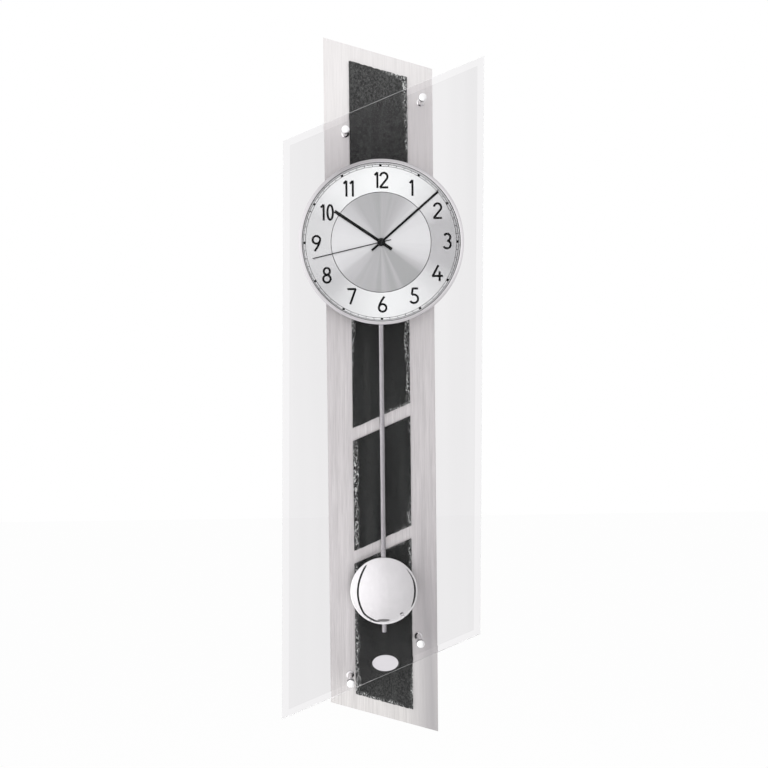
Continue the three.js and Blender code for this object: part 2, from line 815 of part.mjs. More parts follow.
function movementCover() {
  const half = movementWidth / 2;
  const body = block(-half, half, movementBottom, movementTop, movementBack, coverFront);
  const batteryWindow = block(
    -cavityHalf,
    cavityHalf,
    bayBottom,
    bayTop,
    movementBack - overcut,
    coverFront + overcut,
  );
  const shaftRadius = boreFor(minuteShaft, playFit, smallSides);
  const shaftHole = disc(shaftRadius, movementBack - overcut, coverFront + overcut, smallSides);
  const boss = at(disc(pivotRadius + pivotBossWall, bossBack, coverFront), 0, pivotY);
  const pinRadius = boreFor(pivotRadius, pressFit, smallSides);
  const pinHole = at(disc(pinRadius, bossBack - overcut, coverFront + overcut, smallSides), 0, pivotY);
  const bearings = [new THREE.Vector2(), intermediatePlace, rotorPlace].map(pivotBearing);
  const carried = join(cut(body, batteryWindow, at(shaftHole, motionDistance, 0)), boss, ...bearings);
  return cut(carried, pinHole);
}

function tubeNut() {
  const corner = nutAcrossFlats / 2 / Math.cos(Math.PI / 6);
  const hexSides = 6;
  const nut = disc(corner, caseFloorFront + seat, caseFloorFront + nutHeight, hexSides);
  const bore = disc(boreFor(tubeRadius, pressFit), caseFloorFront - overcut, tubeFront + overcut);
  return cut(nut, bore);
}

function trainPlate() {
  const left = -cavityHalf + seat;
  const body = block(left, -left, trainPlateBottom, trainTop - seat, trainPlateBack, trainPlateFront);
  const hole = (radius, x, y) => {
    const bore = boreFor(radius, playFit, smallSides);
    return at(disc(bore, trainPlateBack - overcut, trainPlateFront + overcut, smallSides), x, y);
  };
  return cut(
    body,
    hole(secondArbor, 0, 0),
    hole(minuteShaft, motionDistance, 0),
    hole(finePivot, intermediatePlace.x, intermediatePlace.y),
    hole(finePivot, rotorPlace.x, rotorPlace.y),
  );
}

const circuitFront = trainPlateFront;
addPiece(clock, 'movement_shell', movementShell(), finishes.moulding);
addPiece(clock, 'movement_cover', movementCover(), finishes.moulding);
addPiece(clock, 'tube_nut', tubeNut(), finishes.steel);
addPiece(clock, 'train_plate', trainPlate(), finishes.gear);

// Electrical pieces: stepper core and coil, circuit board, battery with contacts, pendulum coil
function statorCore() {
  const legBottom = statorLegY - statorLegWidth / 2;
  const legTop = statorLegY + statorLegWidth / 2;
  const neckRight = statorLeft + statorLegWidth;
  const poleHalf = rotorRadius + statorPoleMargin;
  const poleRight = rotorPlace.x + poleHalf;
  const poleTop = rotorPlace.y + poleHalf;
  const poleBottom = rotorPlace.y - poleHalf;
  const shape = new THREE.Shape([
    new THREE.Vector2(statorLeft, legBottom),
    new THREE.Vector2(statorLegRight, legBottom),
    new THREE.Vector2(statorLegRight, legTop),
    new THREE.Vector2(neckRight, legTop),
    new THREE.Vector2(neckRight, poleBottom),
    new THREE.Vector2(poleRight, poleBottom),
    new THREE.Vector2(poleRight, poleTop),
    new THREE.Vector2(statorLeft, poleTop),
  ]);
  const gap = disc(boreFor(rotorRadius, playFit), statorBack - overcut, statorFront + overcut);
  return cut(plate(shape, statorBack, statorFront), at(gap, rotorPlace.x, rotorPlace.y));
}

function stepperCoil() {
  const flangeRadius = coilRadius + coilFlange;
  const half = coilLength / 2;
  const bobbin = turned(
    [
      [0, -half],
      [flangeRadius, -half],
      [flangeRadius, coilFlange - half],
      [coilRadius, coilFlange - half],
      [coilRadius, half - coilFlange],
      [flangeRadius, half - coilFlange],
      [flangeRadius, half],
      [0, half],
    ],
    roundSides,
  ).rotateY(Math.PI / 2);
  const legHalf = statorLegWidth / 2 + playFit;
  const coreHalf = statorThickness / 2 + playFit;
  return cut(bobbin, block(-coilLength, coilLength, -legHalf, legHalf, -coreHalf, coreHalf));
}

function circuitBoard() {
  const circuitBack = circuitFront - circuitThickness;
  const middleX = (circuitLeft + circuitRight) / 2;
  const body = block(circuitLeft, circuitRight, circuitBottom, circuitTop, circuitBack, circuitFront);
  const chipY = circuitTop - chipSize;
  const half = chipSize / 2;
  const chip = block(
    middleX - half,
    middleX + half,
    chipY - half,
    chipY + half,
    circuitBack - chipHeight,
    circuitBack + seat,
  );
  const crystal = turned(
    [[0, 0], [crystalRadius, 0], [crystalRadius, crystalLength], [0, crystalLength]],
    smallSides,
  ).rotateX(-Math.PI / 2);
  const crystalDepth = circuitBack + crystalSink - crystalRadius;
  return join(body, chip, at(crystal, middleX, circuitBottom + crystalRadius, crystalDepth));
}

function batteryCell() {
  const shoulder = batteryLength - batteryNubLength;
  return turned(
    [
      [0, 0],
      [batteryRadius, 0],
      [batteryRadius, shoulder],
      [batteryNub, shoulder],
      [batteryNub, batteryLength],
      [0, batteryLength],
    ],
    roundSides,
  ).rotateY(Math.PI / 2);
}

function contactBlade() {
  const half = { y: contactHeight / 2, z: contactWidth / 2 };
  return block(0, contactThickness, -half.y, half.y, -half.z, half.z);
}

function contactWithSpring() {
  const tip = contactThickness + contactSpring;
  const root = contactThickness / 2;
  const spring = turned(
    [
      [0, root],
      [springRootRadius, root],
      [springRootRadius, contactThickness],
      [springTipRadius, tip],
      [0, tip],
    ],
    roundSides,
  ).rotateY(Math.PI / 2);
  return join(contactBlade(), spring);
}

addPiece(clock, 'stator', statorCore(), finishes.steel);
addPiece(clock, 'stepper_coil', stepperCoil(), finishes.copper).position.set(
  (statorLeft + statorLegWidth + statorLegRight) / 2,
  statorLegY,
  (statorBack + statorFront) / 2,
);
addPiece(clock, 'circuit_board', circuitBoard(), finishes.circuit);
const bay = addGroup(clock, 0, batteryY, batteryDepth);
addPiece(bay, 'battery', batteryCell(), finishes.cell).position.x = contactX - seat - batteryLength;
addPiece(bay, 'battery_contact_plus', contactBlade(), finishes.steel).position.x = contactX;
addPiece(bay, 'battery_contact_minus', contactWithSpring(), finishes.steel).position.x = seat - cavityHalf;
const driveCoilBack = coverFront + seat;
const driveCoil = ring(driveCoilBore, driveCoilRadius, driveCoilBack, driveCoilBack + driveCoilHeight);
addPiece(clock, 'pendulum_coil', at(driveCoil, 0, pivotY - magnetDrop), finishes.copper);

// Gears. A tooth is centred on the phase angle, and meshing gears leave backlash between them.
function gear(teeth, radiusAtPitch, phase, back, front) {
  const moduleSize = (2 * radiusAtPitch) / teeth;
  const tip = radiusAtPitch + toothAddendum * moduleSize;
  const root = radiusAtPitch - toothDedendum * moduleSize;
  const step = (2 * Math.PI) / teeth;
  const rootHalf = toothRootShare / 2;
  const tipHalf = toothTipShare / 2;
  const outline = [];
  for (let i = 0; i < teeth; i += 1) {
    const middle = phase + i * step;
    for (const [radius, share] of [[root, -rootHalf], [tip, -tipHalf], [tip, tipHalf], [root, rootHalf]]) {
      const angle = middle + share * step;
      outline.push(new THREE.Vector2(radius * Math.cos(angle), radius * Math.sin(angle)));
    }
  }
  return plate(new THREE.Shape(outline), back, front);
}

// The pitch radii of two meshing gears share the distance between their axes.
function pitchRadius(teeth, otherTeeth, distance) {
  return (distance * teeth) / (teeth + otherTeeth);
}

// The phase at which a gear's gap faces a tooth of its neighbour, which lies against the given direction.
function meshPhase(neighbourPhase, neighbourTeeth, teeth, direction) {
  const share = neighbourTeeth / teeth;
  return direction + Math.PI + (direction - neighbourPhase) * share - Math.PI / teeth;
}

// Motion works: cannon pinion, minute wheel and hour wheel, with their coaxial pipes
const motionDirection = 0;
const hourPipeFront = hourHandBack + hubHeight;
const minutePipeFront = minuteHandBack + hubHeight;

function cannonPinion() {
  const radius = pitchRadius(cannonTeeth, minuteWheelTeeth, motionDistance);
  const pinion = gear(cannonTeeth, radius, 0, cannonBack, cannonFront);
  const pipe = disc(minutePipe, cannonBack, minutePipeFront);
  const bore = disc(boreFor(secondArbor, playFit), cannonBack - overcut, minutePipeFront + overcut);
  return cut(join(pinion, pipe), bore);
}

function hourWheel() {
  const radius = pitchRadius(hourWheelTeeth, minutePinionTeeth, motionDistance);
  const wheel = gear(hourWheelTeeth, radius, 0, hourWheelBack, hourWheelFront);
  const pipe = disc(hourPipe, hourWheelBack, hourPipeFront);
  const bore = disc(boreFor(minutePipe, playFit), hourWheelBack - overcut, hourPipeFront + overcut);
  return cut(join(wheel, pipe), bore);
}

function minuteWheel() {
  const wheelRadius = pitchRadius(minuteWheelTeeth, cannonTeeth, motionDistance);
  const wheelPhase = meshPhase(0, cannonTeeth, minuteWheelTeeth, motionDirection);
  const pinionRadius = pitchRadius(minutePinionTeeth, hourWheelTeeth, motionDistance);
  const pinionPhase = meshPhase(0, hourWheelTeeth, minutePinionTeeth, motionDirection);
  const pinionFront = hourWheelFront + pinionOverhang;
  const pivotFront = cavityFront + minutePivotLength;
  const wheel = gear(minuteWheelTeeth, wheelRadius, wheelPhase, minuteWheelBack, minuteWheelFront);
  const pinion = gear(minutePinionTeeth, pinionRadius, pinionPhase, minuteWheelFront - seat, pinionFront);
  const shaft = turned(
    [
      [0, knobShaftBack],
      [minuteShaft, knobShaftBack],
      [minuteShaft, pinionFront],
      [finePivot, pinionFront],
      [finePivot, pivotFront],
      [0, pivotFront],
    ],
    smallSides,
  );
  return join(wheel, pinion, shaft);
}

function settingKnob() {
  const outline = [];
  const points = 2 * knobRibs;
  for (let i = 0; i < points; i += 1) {
    const radius = knobRadius - (i % 2) * knobRibDepth;
    const angle = (2 * Math.PI * i) / points;
    outline.push(new THREE.Vector2(radius * Math.cos(angle), radius * Math.sin(angle)));
  }
  const bore = boreFor(minuteShaft, pressFit, smallSides);
  const shaftBore = disc(bore, knobShaftBack - seat, knobFront + overcut, smallSides);
  return cut(plate(new THREE.Shape(outline), knobBack, knobFront), shaftBore);
}

addPiece(clock, 'cannon_pinion', cannonPinion(), finishes.gear);
addPiece(clock, 'hour_wheel', hourWheel(), finishes.gear);
const minuteGroup = addGroup(clock, motionDistance, 0);
addPiece(minuteGroup, 'minute_wheel', minuteWheel(), finishes.gear);
addPiece(minuteGroup, 'setting_knob', settingKnob(), finishes.moulding);

// Running train: rotor, intermediate wheel and seconds wheel
const intermediateDirection = Math.PI;

function secondsWheel() {
  const radius = pitchRadius(secondsTeeth, stepPinionTeeth, secondsDistance);
  const wheel = gear(secondsTeeth, radius, 0, secondsBack, secondsFront);
  const arborFront = secondHandBack + bossBore;
  const arbor = disc(secondArbor, secondsBack, arborFront, smallSides);
  const pivot = disc(finePivot, finePivotBack, secondsFront, smallSides);
  return join(wheel, arbor, pivot);
}

function intermediateWheel() {
  const pinionRadius = pitchRadius(stepPinionTeeth, secondsTeeth, secondsDistance);
  const pinionPhase = meshPhase(0, secondsTeeth, stepPinionTeeth, intermediateDirection);
  const wheelRadius = pitchRadius(intermediateTeeth, rotorTeeth, rotorDistance);
  const pinionFront = secondsFront + pinionOverhang;
  const pinion = gear(stepPinionTeeth, pinionRadius, pinionPhase, intermediateFront - seat, pinionFront);
  const wheel = gear(intermediateTeeth, wheelRadius, 0, intermediateBack, intermediateFront);
  return join(wheel, pinion, disc(finePivot, finePivotBack, finePivotFront, smallSides));
}

function rotor() {
  const radius = pitchRadius(rotorTeeth, intermediateTeeth, rotorDistance);
  const phase = meshPhase(0, intermediateTeeth, rotorTeeth, degrees(rotorDirection));
  const magnetBackDepth = rotorFront - rotorLength;
  const pinion = gear(rotorTeeth, radius, phase, intermediateBack - pinionOverhang, magnetBackDepth + seat);
  const magnet = disc(rotorRadius, magnetBackDepth, rotorFront);
  return join(magnet, pinion, disc(finePivot, finePivotBack, finePivotFront, smallSides));
}

addPiece(clock, 'seconds_wheel', secondsWheel(), finishes.gear);
const intermediate = addPiece(clock, 'intermediate_wheel', intermediateWheel(), finishes.gear);
intermediate.position.set(intermediatePlace.x, intermediatePlace.y, 0);
addPiece(clock, 'rotor', rotor(), finishes.magnet).position.set(rotorPlace.x, rotorPlace.y, 0);

// Hands: straight blades on round hubs, pressed on the arbors
function hand(tip, tail, width, back, boreRadius) {
  const blade = block(-width / 2, width / 2, -tail, tip, back, back + handThickness);
  const hub = disc(hubRadius, back, back + hubHeight);
  const bore = disc(boreFor(boreRadius, pressFit), back - overcut, back + hubHeight + overcut);
  return cut(join(blade, hub), bore);
}

function secondHand() {
  const back = secondHandBack;
  const half = secondWidth / 2;
  const tip = caseInnerRadius - secondTipGap;
  const blade = block(-half, half, -secondTail, tip, back, back + secondThickness);
  const boss = turned(
    [
      [0, back],
      [hubRadius, back],
      [hubRadius, back + bossEdge],
      [bossCrown, back + hubHeight],
      [0, back + hubHeight],
    ],
    roundSides,
  );
  const bore = disc(boreFor(secondArbor, pressFit), back - overcut, back + bossBore + seat);
  return cut(join(blade, boss), bore);
}

const minuteTip = caseInnerRadius - minuteTipGap;
const hourBlade = hand(discRadius + hourReach, hourTail, hourWidth, hourHandBack, hourPipe);
const minuteBlade = hand(minuteTip, minuteTail, minuteWidth, minuteHandBack, minutePipe);
addPiece(clock, 'hour_hand', hourBlade, finishes.black).rotation.z = -degrees(hourAngle);
addPiece(clock, 'minute_hand', minuteBlade, finishes.black).rotation.z = -degrees(minuteAngle);
addPiece(clock, 'second_hand', secondHand(), finishes.black).rotation.z = -degrees(secondAngle);

// Pendulum: arm with magnet on the pivot pin, rod on the arm's stud, and a hollow domed bob
const pendulum = addGroup(clock, 0, pivotY);
const rodEnd = rodEndY - pivotY;
const bobCentre = bobY - pivotY;

function pivotPin() {
  const neckBack = armBack - trainGap;
  return turned(
    [
      [0, neckBack - pivotHeadHeight],
      [pivotHeadRadius, neckBack - pivotHeadHeight],
      [pivotHeadRadius, neckBack],
      [pivotRadius, neckBack],
      [pivotRadius, coverFront],
      [0, coverFront],
    ],
    smallSides,
  );
}

function pendulumArm() {
  const half = armWidth / 2;
  const outline = new THREE.Shape();
  outline.moveTo(-half, -armLength);
  outline.absarc(0, -armLength, half, Math.PI, 2 * Math.PI, false);
  outline.lineTo(half, 0);
  outline.absarc(0, 0, half, 0, Math.PI, false);
  const stud = at(disc(armStud, rodDepth - rodRadius - overcut, armFront, smallSides), 0, -armLength);
  const boreRadius = boreFor(pivotRadius, playFit, smallSides);
  const bore = disc(boreRadius, armBack - overcut, armFront + overcut, smallSides);
  return cut(join(plate(outline, armBack, armFront), stud), bore);
}

function pendulumRod() {
  const top = rodAboveStud - armLength;
  const round = turned(
    [
      [0, rodEnd],
      [rodRadius - rodChamfer, rodEnd],
      [rodRadius, rodEnd + rodChamfer],
      [rodRadius, top - rodChamfer],
      [rodRadius - rodChamfer, top],
      [0, top],
    ],
    roundSides,
  ).rotateX(-Math.PI / 2);
  const eye = boreFor(armStud, playFit, smallSides);
  const hole = at(disc(eye, -rodRadius - overcut, rodRadius + overcut, smallSides), 0, -armLength);
  return at(cut(round, hole), 0, 0, rodDepth);
}

// The dome is a shallow spherical cap over a short straight rim, spun from sheet and open at the back.
function domeProfile(radius, height, back) {
  const sphere = (radius * radius + height * height) / (2 * height);
  const spread = Math.asin(radius / sphere);
  const points = [];
  for (let i = 0; i <= bobSteps; i += 1) {
    const angle = spread * (1 - i / bobSteps);
    points.push([sphere * Math.sin(angle), back + sphere * Math.cos(angle) - sphere + height]);
  }
  points[bobSteps][0] = 0;
  return points;
}

function bobShell() {
  const innerRadius = bobRadius - bobSheet;
  const outer = domeProfile(bobRadius, bobDome, bobBackFront).reverse();
  const inner = domeProfile(innerRadius, bobDome - bobSheet, bobBackFront);
  const rim = [[bobRadius, bobShellBack], [innerRadius, bobShellBack]];
  return at(turned([...outer, ...rim, ...inner], bobSides), 0, bobCentre);
}

function bobBack() {
  const backRadius = bobRadius - bobSheet - playFit;
  const backing = at(disc(backRadius, bobBackFront - bobBackThickness, bobBackFront, bobSides), 0, bobCentre);
  const clipBack = rodDepth - rodRadius - clipWall;
  const half = { x: clipWidth / 2, y: clipHeight / 2 };
  const clip = block(-half.x, half.x, bobCentre - half.y, bobCentre + half.y, clipBack, bobBackFront);
  const bore = disc(boreFor(rodRadius, pressFit), -bobRadius, bobRadius).rotateX(-Math.PI / 2);
  return cut(join(backing, clip), at(bore, 0, bobCentre, rodDepth));
}

addPiece(clock, 'pivot_pin', pivotPin(), finishes.steel).position.y = pivotY;
addPiece(pendulum, 'pendulum_arm', pendulumArm(), finishes.steel);
const magnet = disc(magnetRadius, magnetBack, magnetFront);
addPiece(pendulum, 'drive_magnet', at(magnet, 0, -magnetDrop), finishes.magnet);
addPiece(pendulum, 'pendulum_rod', pendulumRod(), finishes.chrome);
addPiece(pendulum, 'bob_shell', bobShell(), finishes.chrome);
addPiece(pendulum, 'bob_back', bobBack(), finishes.moulding);

clock.rotation.x = Math.PI / 2;
clock.position.z = -hangerY;

export default clock;
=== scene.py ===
import math

import bpy
from mathutils import Matrix, Vector


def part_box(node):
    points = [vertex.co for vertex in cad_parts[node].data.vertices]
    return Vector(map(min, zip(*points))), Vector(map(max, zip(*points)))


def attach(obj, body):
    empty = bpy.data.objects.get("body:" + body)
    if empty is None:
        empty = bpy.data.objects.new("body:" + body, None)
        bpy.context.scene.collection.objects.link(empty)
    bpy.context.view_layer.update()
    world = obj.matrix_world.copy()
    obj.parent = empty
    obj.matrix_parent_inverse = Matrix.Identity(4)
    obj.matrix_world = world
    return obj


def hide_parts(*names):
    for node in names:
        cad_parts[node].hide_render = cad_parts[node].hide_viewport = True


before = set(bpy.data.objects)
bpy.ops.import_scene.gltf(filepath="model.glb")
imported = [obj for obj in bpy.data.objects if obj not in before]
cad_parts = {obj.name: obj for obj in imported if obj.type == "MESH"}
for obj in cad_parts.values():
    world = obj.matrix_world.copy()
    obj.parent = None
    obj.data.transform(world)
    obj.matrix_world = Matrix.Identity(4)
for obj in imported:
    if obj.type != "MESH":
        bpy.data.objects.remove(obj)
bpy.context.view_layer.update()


# Back board
# A slanted board of pressed wood fibre, sawn with upright sides. Its edges are sprayed silver grey and
# its back stays raw. Everything else on the clock is screwed or glued to it.
def fill_ramp(ramp, stops):
    """Gives a colour ramp its stops, each a position and a colour."""
    for position, _ in stops[1:-1]:
        ramp.elements.new(position)
    for element, (position, colour) in zip(ramp.elements, stops):
        element.position = position
        element.color = colour


class Shade:
    """One output of a material's nodes. Sums and products of it add Math nodes."""

    def __init__(self, output):
        self.output = output

    def node(self, kind, settings, inputs, result=0):
        """A node of the given type: its settings first, then the values or links of its sockets."""
        tree = self.output.id_data
        made = tree.nodes.new(kind)
        for name, value in settings.items():
            if name == "stops":
                fill_ramp(made.color_ramp, value)
            elif name == "interpolation":
                made.color_ramp.interpolation = value
            else:
                setattr(made, name, value)
        for name, value in inputs.items():
            if isinstance(value, Shade):
                tree.links.new(value.output, made.inputs[name])
            else:
                made.inputs[name].default_value = value
        return Shade(made.outputs[result])

    def maths(self, operation, *values):
        """A Math node on the given values."""
        return self.node("ShaderNodeMath", {"operation": operation}, dict(enumerate(values)))

    def __add__(self, other):
        return self.maths("ADD", self, other)

    def __sub__(self, other):
        return self.maths("SUBTRACT", self, other)

    def __rsub__(self, other):
        return self.maths("SUBTRACT", other, self)

    def __mul__(self, other):
        return self.maths("MULTIPLY", self, other)

    def __truediv__(self, other):
        return self.maths("DIVIDE", self, other)

    def __abs__(self):
        return self.maths("ABSOLUTE", self)

    __radd__ = __add__
    __rmul__ = __mul__


def tone(code):
    """A colour as a paint list writes it, in the shader's linear values."""
    parts = [int(code[i : i + 2], 16) / 255 for i in (1, 3, 5)]
    return [c / 12.92 if c < 0.04045 else ((c + 0.055) / 1.055) ** 2.4 for c in parts] + [1]


def finish(name, constants):
    """A new material, its shader with constant sockets set, and the place on the clock in metres."""
    material = bpy.data.materials.new(name)
    material.use_nodes = True
    nodes = material.node_tree.nodes
    shader = nodes["Principled BSDF"]
    for socket, value in constants.items():
        shader.inputs[socket].default_value = value
    return material, shader, Shade(nodes.new("ShaderNodeTexCoord").outputs["Object"])


def feed(shader, **shades):
    """Links what changes over a surface to the shader's sockets."""
    for name, shade in shades.items():
        socket = shader.inputs["Base Color" if name == "colour" else name.capitalize()]
        shader.id_data.links.new(shade.output, socket)


def grain(place, counts, detail=3.0):
    """Noise between about 0.2 and 0.8, with so many grains to the metre along each axis."""
    stretched = place.node("ShaderNodeVectorMath", {"operation": "MULTIPLY"}, {0: place, 1: counts})
    noise = {"Vector": stretched, "Scale": 1.0, "Detail": detail}
    return stretched.node("ShaderNodeTexNoise", {}, noise)


def spread(value, low, high, start=0.0, end=1.0):
    """The value between two limits, stretched from start to end and held there outside them."""
    limits = {"Value": value, "From Min": low, "From Max": high, "To Min": start, "To Max": end}
    return value.node("ShaderNodeMapRange", {}, limits)


def mixed(share, first, second):
    """A colour between two, by a share from 0 to 1."""
    return share.node("ShaderNodeMix", {"data_type": "RGBA"}, {0: share, 6: first, 7: second}, 2)


def relief(height, depth):
    """The normal over a surface whose height runs from 0 to 1 over the given depth in metres."""
    return height.node("ShaderNodeBump", {}, {"Strength": 1.0, "Distance": depth, "Height": height})


def along(vector, axis):
    """One part of a vector."""
    return vector.node("ShaderNodeSeparateXYZ", {}, {0: vector}, axis)


def facing_way(place, axis):
    """How far the surface faces along an axis, from -1 to 1."""
    return along(place.node("ShaderNodeNewGeometry", {}, {}, "Normal"), axis)


def dress(material, *names):
    """Gives carried-over nodes their finish."""
    for name in names:
        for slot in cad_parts[name].material_slots:
            slot.material = material


mm = 0.001
fibreboard, shader, place = finish("fibreboard", {})
fibres = grain(place, (900, 900, 260), 5)
flecks = spread(grain(place, (2600, 2600, 1400), 2), 0.6, 0.72)
raw = mixed(spread(fibres, 0.3, 0.7), tone("#7d6850"), tone("#9d876b"))
raw = mixed(flecks * 0.5, raw, tone("#5b4835"))
spray = mixed(fibres, tone("#a9a9a7"), tone("#bcbcba"))
back_side = spread(facing_way(place, "Y"), 0.6, 0.8)
feed(
    shader,
    colour=mixed(back_side, spray, raw),
    roughness=spread(fibres, 0.3, 0.7, 0.62, 0.86),
    normal=relief(fibres, 0.12 * mm),
)
dress(fibreboard, "back_board")


# Facing sheet
# A sheet of aluminium, brushed along its length so that fine hairlines run up and down, cut to the
# board's outline and glued on its front. Towards the foot the brushing is stronger, and the colour is
# painted greyer there as painted shade; a grey patch low on the right is a painted dark reflection.
brushed, shader, place = finish("brushed_facing", {"Metallic": 1.0})
hairs = grain(place, (1700, 60, 55), 2)
strands = grain(place, (800, 60, 24), 3)
broad = grain(place, (45, 10, 3), 2)
streaks = grain(place, (300, 40, 9), 2)
brushing = spread(hairs * 0.3 + strands * 0.35 + streaks * 0.25 + broad * 0.1, 0.38, 0.62)
height = along(place, "Z")
calm = spread(height, -0.3, -0.02) * 0.6
brushing = brushing * (1 - calm) + calm * 0.5
# Painted light: the sheet is painted lighter from the foot upwards, darker at the foot as painted shade.
painted_light_upwards = spread(height, -0.60, -0.50)
dark = mixed(painted_light_upwards, tone("#c8c5c4"), tone("#d8d5d5"))
light = mixed(painted_light_upwards, tone("#e2dfde"), tone("#f2efef"))
# A painted dark reflection: a grey patch low on the right of the sheet.
painted_dark_reflection = spread(along(place, "X"), 0.02, 0.05) * spread(height, -0.36, -0.47)
sheet_and_painted_light = mixed(painted_dark_reflection * spread(broad, 0.25, 0.5) * 0.95, mixed(brushing, dark, light), tone("#adaaac"))
feed(
    shader,
    colour=sheet_and_painted_light,
    roughness=spread(brushing, 0, 1, 0.34, 0.46),
    normal=relief(hairs * 0.6 + strands * 0.4, 0.01 * mm),
)
dress(brushed, "facing_sheet")


# Hanger plate and wall pads
# A zinc-plated steel plate with a punched keyhole hangs on the wall screw. Two countersunk screws
# hold it, and two rubber pads at the foot keep the clock parallel to the wall.
hands_axis_z = -130 * mm  # height of the hands' axis in the clock's frame
zinc, shader, place = finish("zinc_plate", {"Metallic": 1.0})
spangle = grain(place, (320, 320, 320), 2)
scuffs = grain(place, (1800, 1800, 90), 4)
feed(
    shader,
    colour=mixed(spread(spangle, 0.35, 0.65), tone("#a3a6aa"), tone("#c4c6c8")),
    roughness=spread(spangle * 0.6 + scuffs * 0.4, 0.35, 0.7, 0.28, 0.5),
    normal=relief(scuffs, 0.02 * mm),
)
rubber, shader, place = finish("pad_rubber", {"Specular IOR Level": 0.3})
dust = grain(place, (2200, 2200, 2200), 4)
feed(
    shader,
    colour=mixed(spread(dust, 0.4, 0.75), tone("#262626"), tone("#3d3c3b")),
    roughness=spread(dust, 0.3, 0.7, 0.75, 0.95),
    normal=relief(dust, 0.06 * mm),
)


def only(piece):
    """Selects one piece and nothing else."""
    bpy.ops.object.select_all(action="DESELECT")
    piece.select_set(True)
    bpy.context.view_layer.objects.active = piece


def settle(piece):
    """Puts a piece's place, turn and size into its mesh."""
    only(piece)
    bpy.ops.object.transform_apply(location=True, rotation=True, scale=True)


def edit(piece, chosen=None):
    """Opens a piece for editing with the chosen faces selected, or all of it."""
    only(piece)
    bpy.ops.object.mode_set(mode="EDIT")
    bpy.ops.mesh.select_mode(type="FACE")
    bpy.ops.mesh.select_all(action="DESELECT" if chosen else "SELECT")
    if chosen:
        bpy.ops.object.mode_set(mode="OBJECT")
        for face in piece.data.polygons:
            face.select = bool(chosen(face))
        bpy.ops.object.mode_set(mode="EDIT")


def close():
    """Merges what lies together in the open piece, points its faces outwards and leaves edit mode."""
    bpy.ops.mesh.select_all(action="SELECT")
    bpy.ops.mesh.remove_doubles(threshold=0.002 * mm)
    bpy.ops.mesh.normals_make_consistent(inside=False)
    bpy.ops.object.mode_set(mode="OBJECT")


def turned(profile, sides):
    """A piece turned about the z axis. The profile lists radius and height in millimetres."""
    (radius, height), *rest = profile
    bpy.ops.object.select_all(action="DESELECT")
    bpy.ops.mesh.primitive_circle_add(
        vertices=sides, radius=radius * mm, fill_type="NGON", location=(0, 0, height * mm)
    )
    piece = bpy.context.object
    edit(piece)
    for wide, high in rest:
        rise = (0, 0, (high - height) * mm)
        bpy.ops.mesh.extrude_region_move(TRANSFORM_OT_translate={"value": rise})
        ratio = wide / radius
        bpy.ops.transform.resize(value=(ratio, ratio, 1), center_override=(0, 0, high * mm))
        radius, height = wide, high
    close()
    settle(piece)
    return piece


def smooth(piece, angle=32):
    """Shades a piece round, apart from edges sharper than the angle in degrees."""
    only(piece)
    bpy.ops.object.shade_smooth_by_angle(angle=math.radians(angle))


def copied(piece):
    """A copy with a mesh of its own."""
    only(piece)
    bpy.ops.object.duplicate()
    return bpy.context.object


def applied(piece, name):
    """Works a modifier into a piece's mesh."""
    only(piece)
    bpy.ops.object.modifier_apply(modifier=name)


def cut_away(piece, tool):
    """Cuts a tool's shape out of a piece and removes the tool."""
    cutter = piece.modifiers.new("cut", "BOOLEAN")
    cutter.object = tool
    cutter.solver = "EXACT"
    applied(piece, "cut")
    bpy.data.objects.remove(tool)


def fit(piece, name, body, material, stands_for=None):
    """Names a piece, gives it its finish and sets it on its body, in place of a node if it names one."""
    piece.name = piece.data.name = name
    piece.data.materials.clear()
    piece.data.materials.append(material)
    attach(piece, body)
    if stands_for:
        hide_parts(stands_for)


def hang(piece, name, body, material, stands_for=None):
    """Turns a piece that was drawn flat, dial upwards, upright in the clock's frame and fits it."""
    upright = Matrix.Translation((0, 0, hands_axis_z)) @ Matrix.Rotation(math.pi / 2, 4, "X")
    piece.matrix_world = upright @ piece.matrix_basis
    settle(piece)
    fit(piece, name, body, material, stands_for)


def flat_box(node):
    """A node's lowest and highest corners with the clock laid flat, dial upwards, in millimetres."""
    low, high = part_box(node)
    lowest = Vector((low.x, low.z - hands_axis_z, -high.y)) / mm
    highest = Vector((high.x, high.z - hands_axis_z, -low.y)) / mm
    return lowest, highest


def foot_of(node):
    """Where a node's axis meets its lowest depth with the clock laid flat, in metres."""
    low, high = flat_box(node)
    return Vector(((low.x + high.x) / 2, (low.y + high.y) / 2, low.z)) * mm


head_radius, head_edge, head_depth = 3, 0.3, 1.9
shank_radius, screw_tip = 1.4, 1.4
recess_wide, recess_long, recess_deep = 0.75, 3.3, 1.1
recess_taper = (0.6, 0.35, 1)  # the recess narrows towards its bed


def countersunk_screw(length):
    """A screw with its head at height 0, facing down, and a cross recess in it."""
    head = [(head_radius - 0.25, 0), (head_radius, 0.12), (head_radius, head_edge)]
    shank = [(shank_radius, head_depth), (shank_radius, length - screw_tip), (0.15, length)]
    screw = turned(head + shank, 40)
    for turn in (0, 90):
        size = (recess_wide * mm, recess_long * mm, 2 * recess_deep * mm)
        bpy.ops.mesh.primitive_cube_add(size=1, scale=size)
        bar = bpy.context.object
        edit(bar, lambda face: face.normal.z > 0.9)
        bpy.ops.transform.resize(value=recess_taper, center_override=(0, 0, recess_deep * mm))
        bpy.ops.object.mode_set(mode="OBJECT")
        bar.rotation_euler.z = math.radians(turn + 20)
        cut_away(screw, bar)
    smooth(screw)
    return screw


def pick_edges(piece, chosen):
    """Opens a piece for editing with those edges selected that are chosen by their two ends."""
    only(piece)
    bpy.ops.object.mode_set(mode="EDIT")
    bpy.ops.mesh.select_mode(type="EDGE")
    bpy.ops.mesh.select_all(action="DESELECT")
    bpy.ops.object.mode_set(mode="OBJECT")
    for edge in piece.data.edges:
        first, second = (piece.data.vertices[i].co for i in edge.vertices)
        edge.select = bool(chosen(first, second))
    bpy.ops.object.mode_set(mode="EDIT")


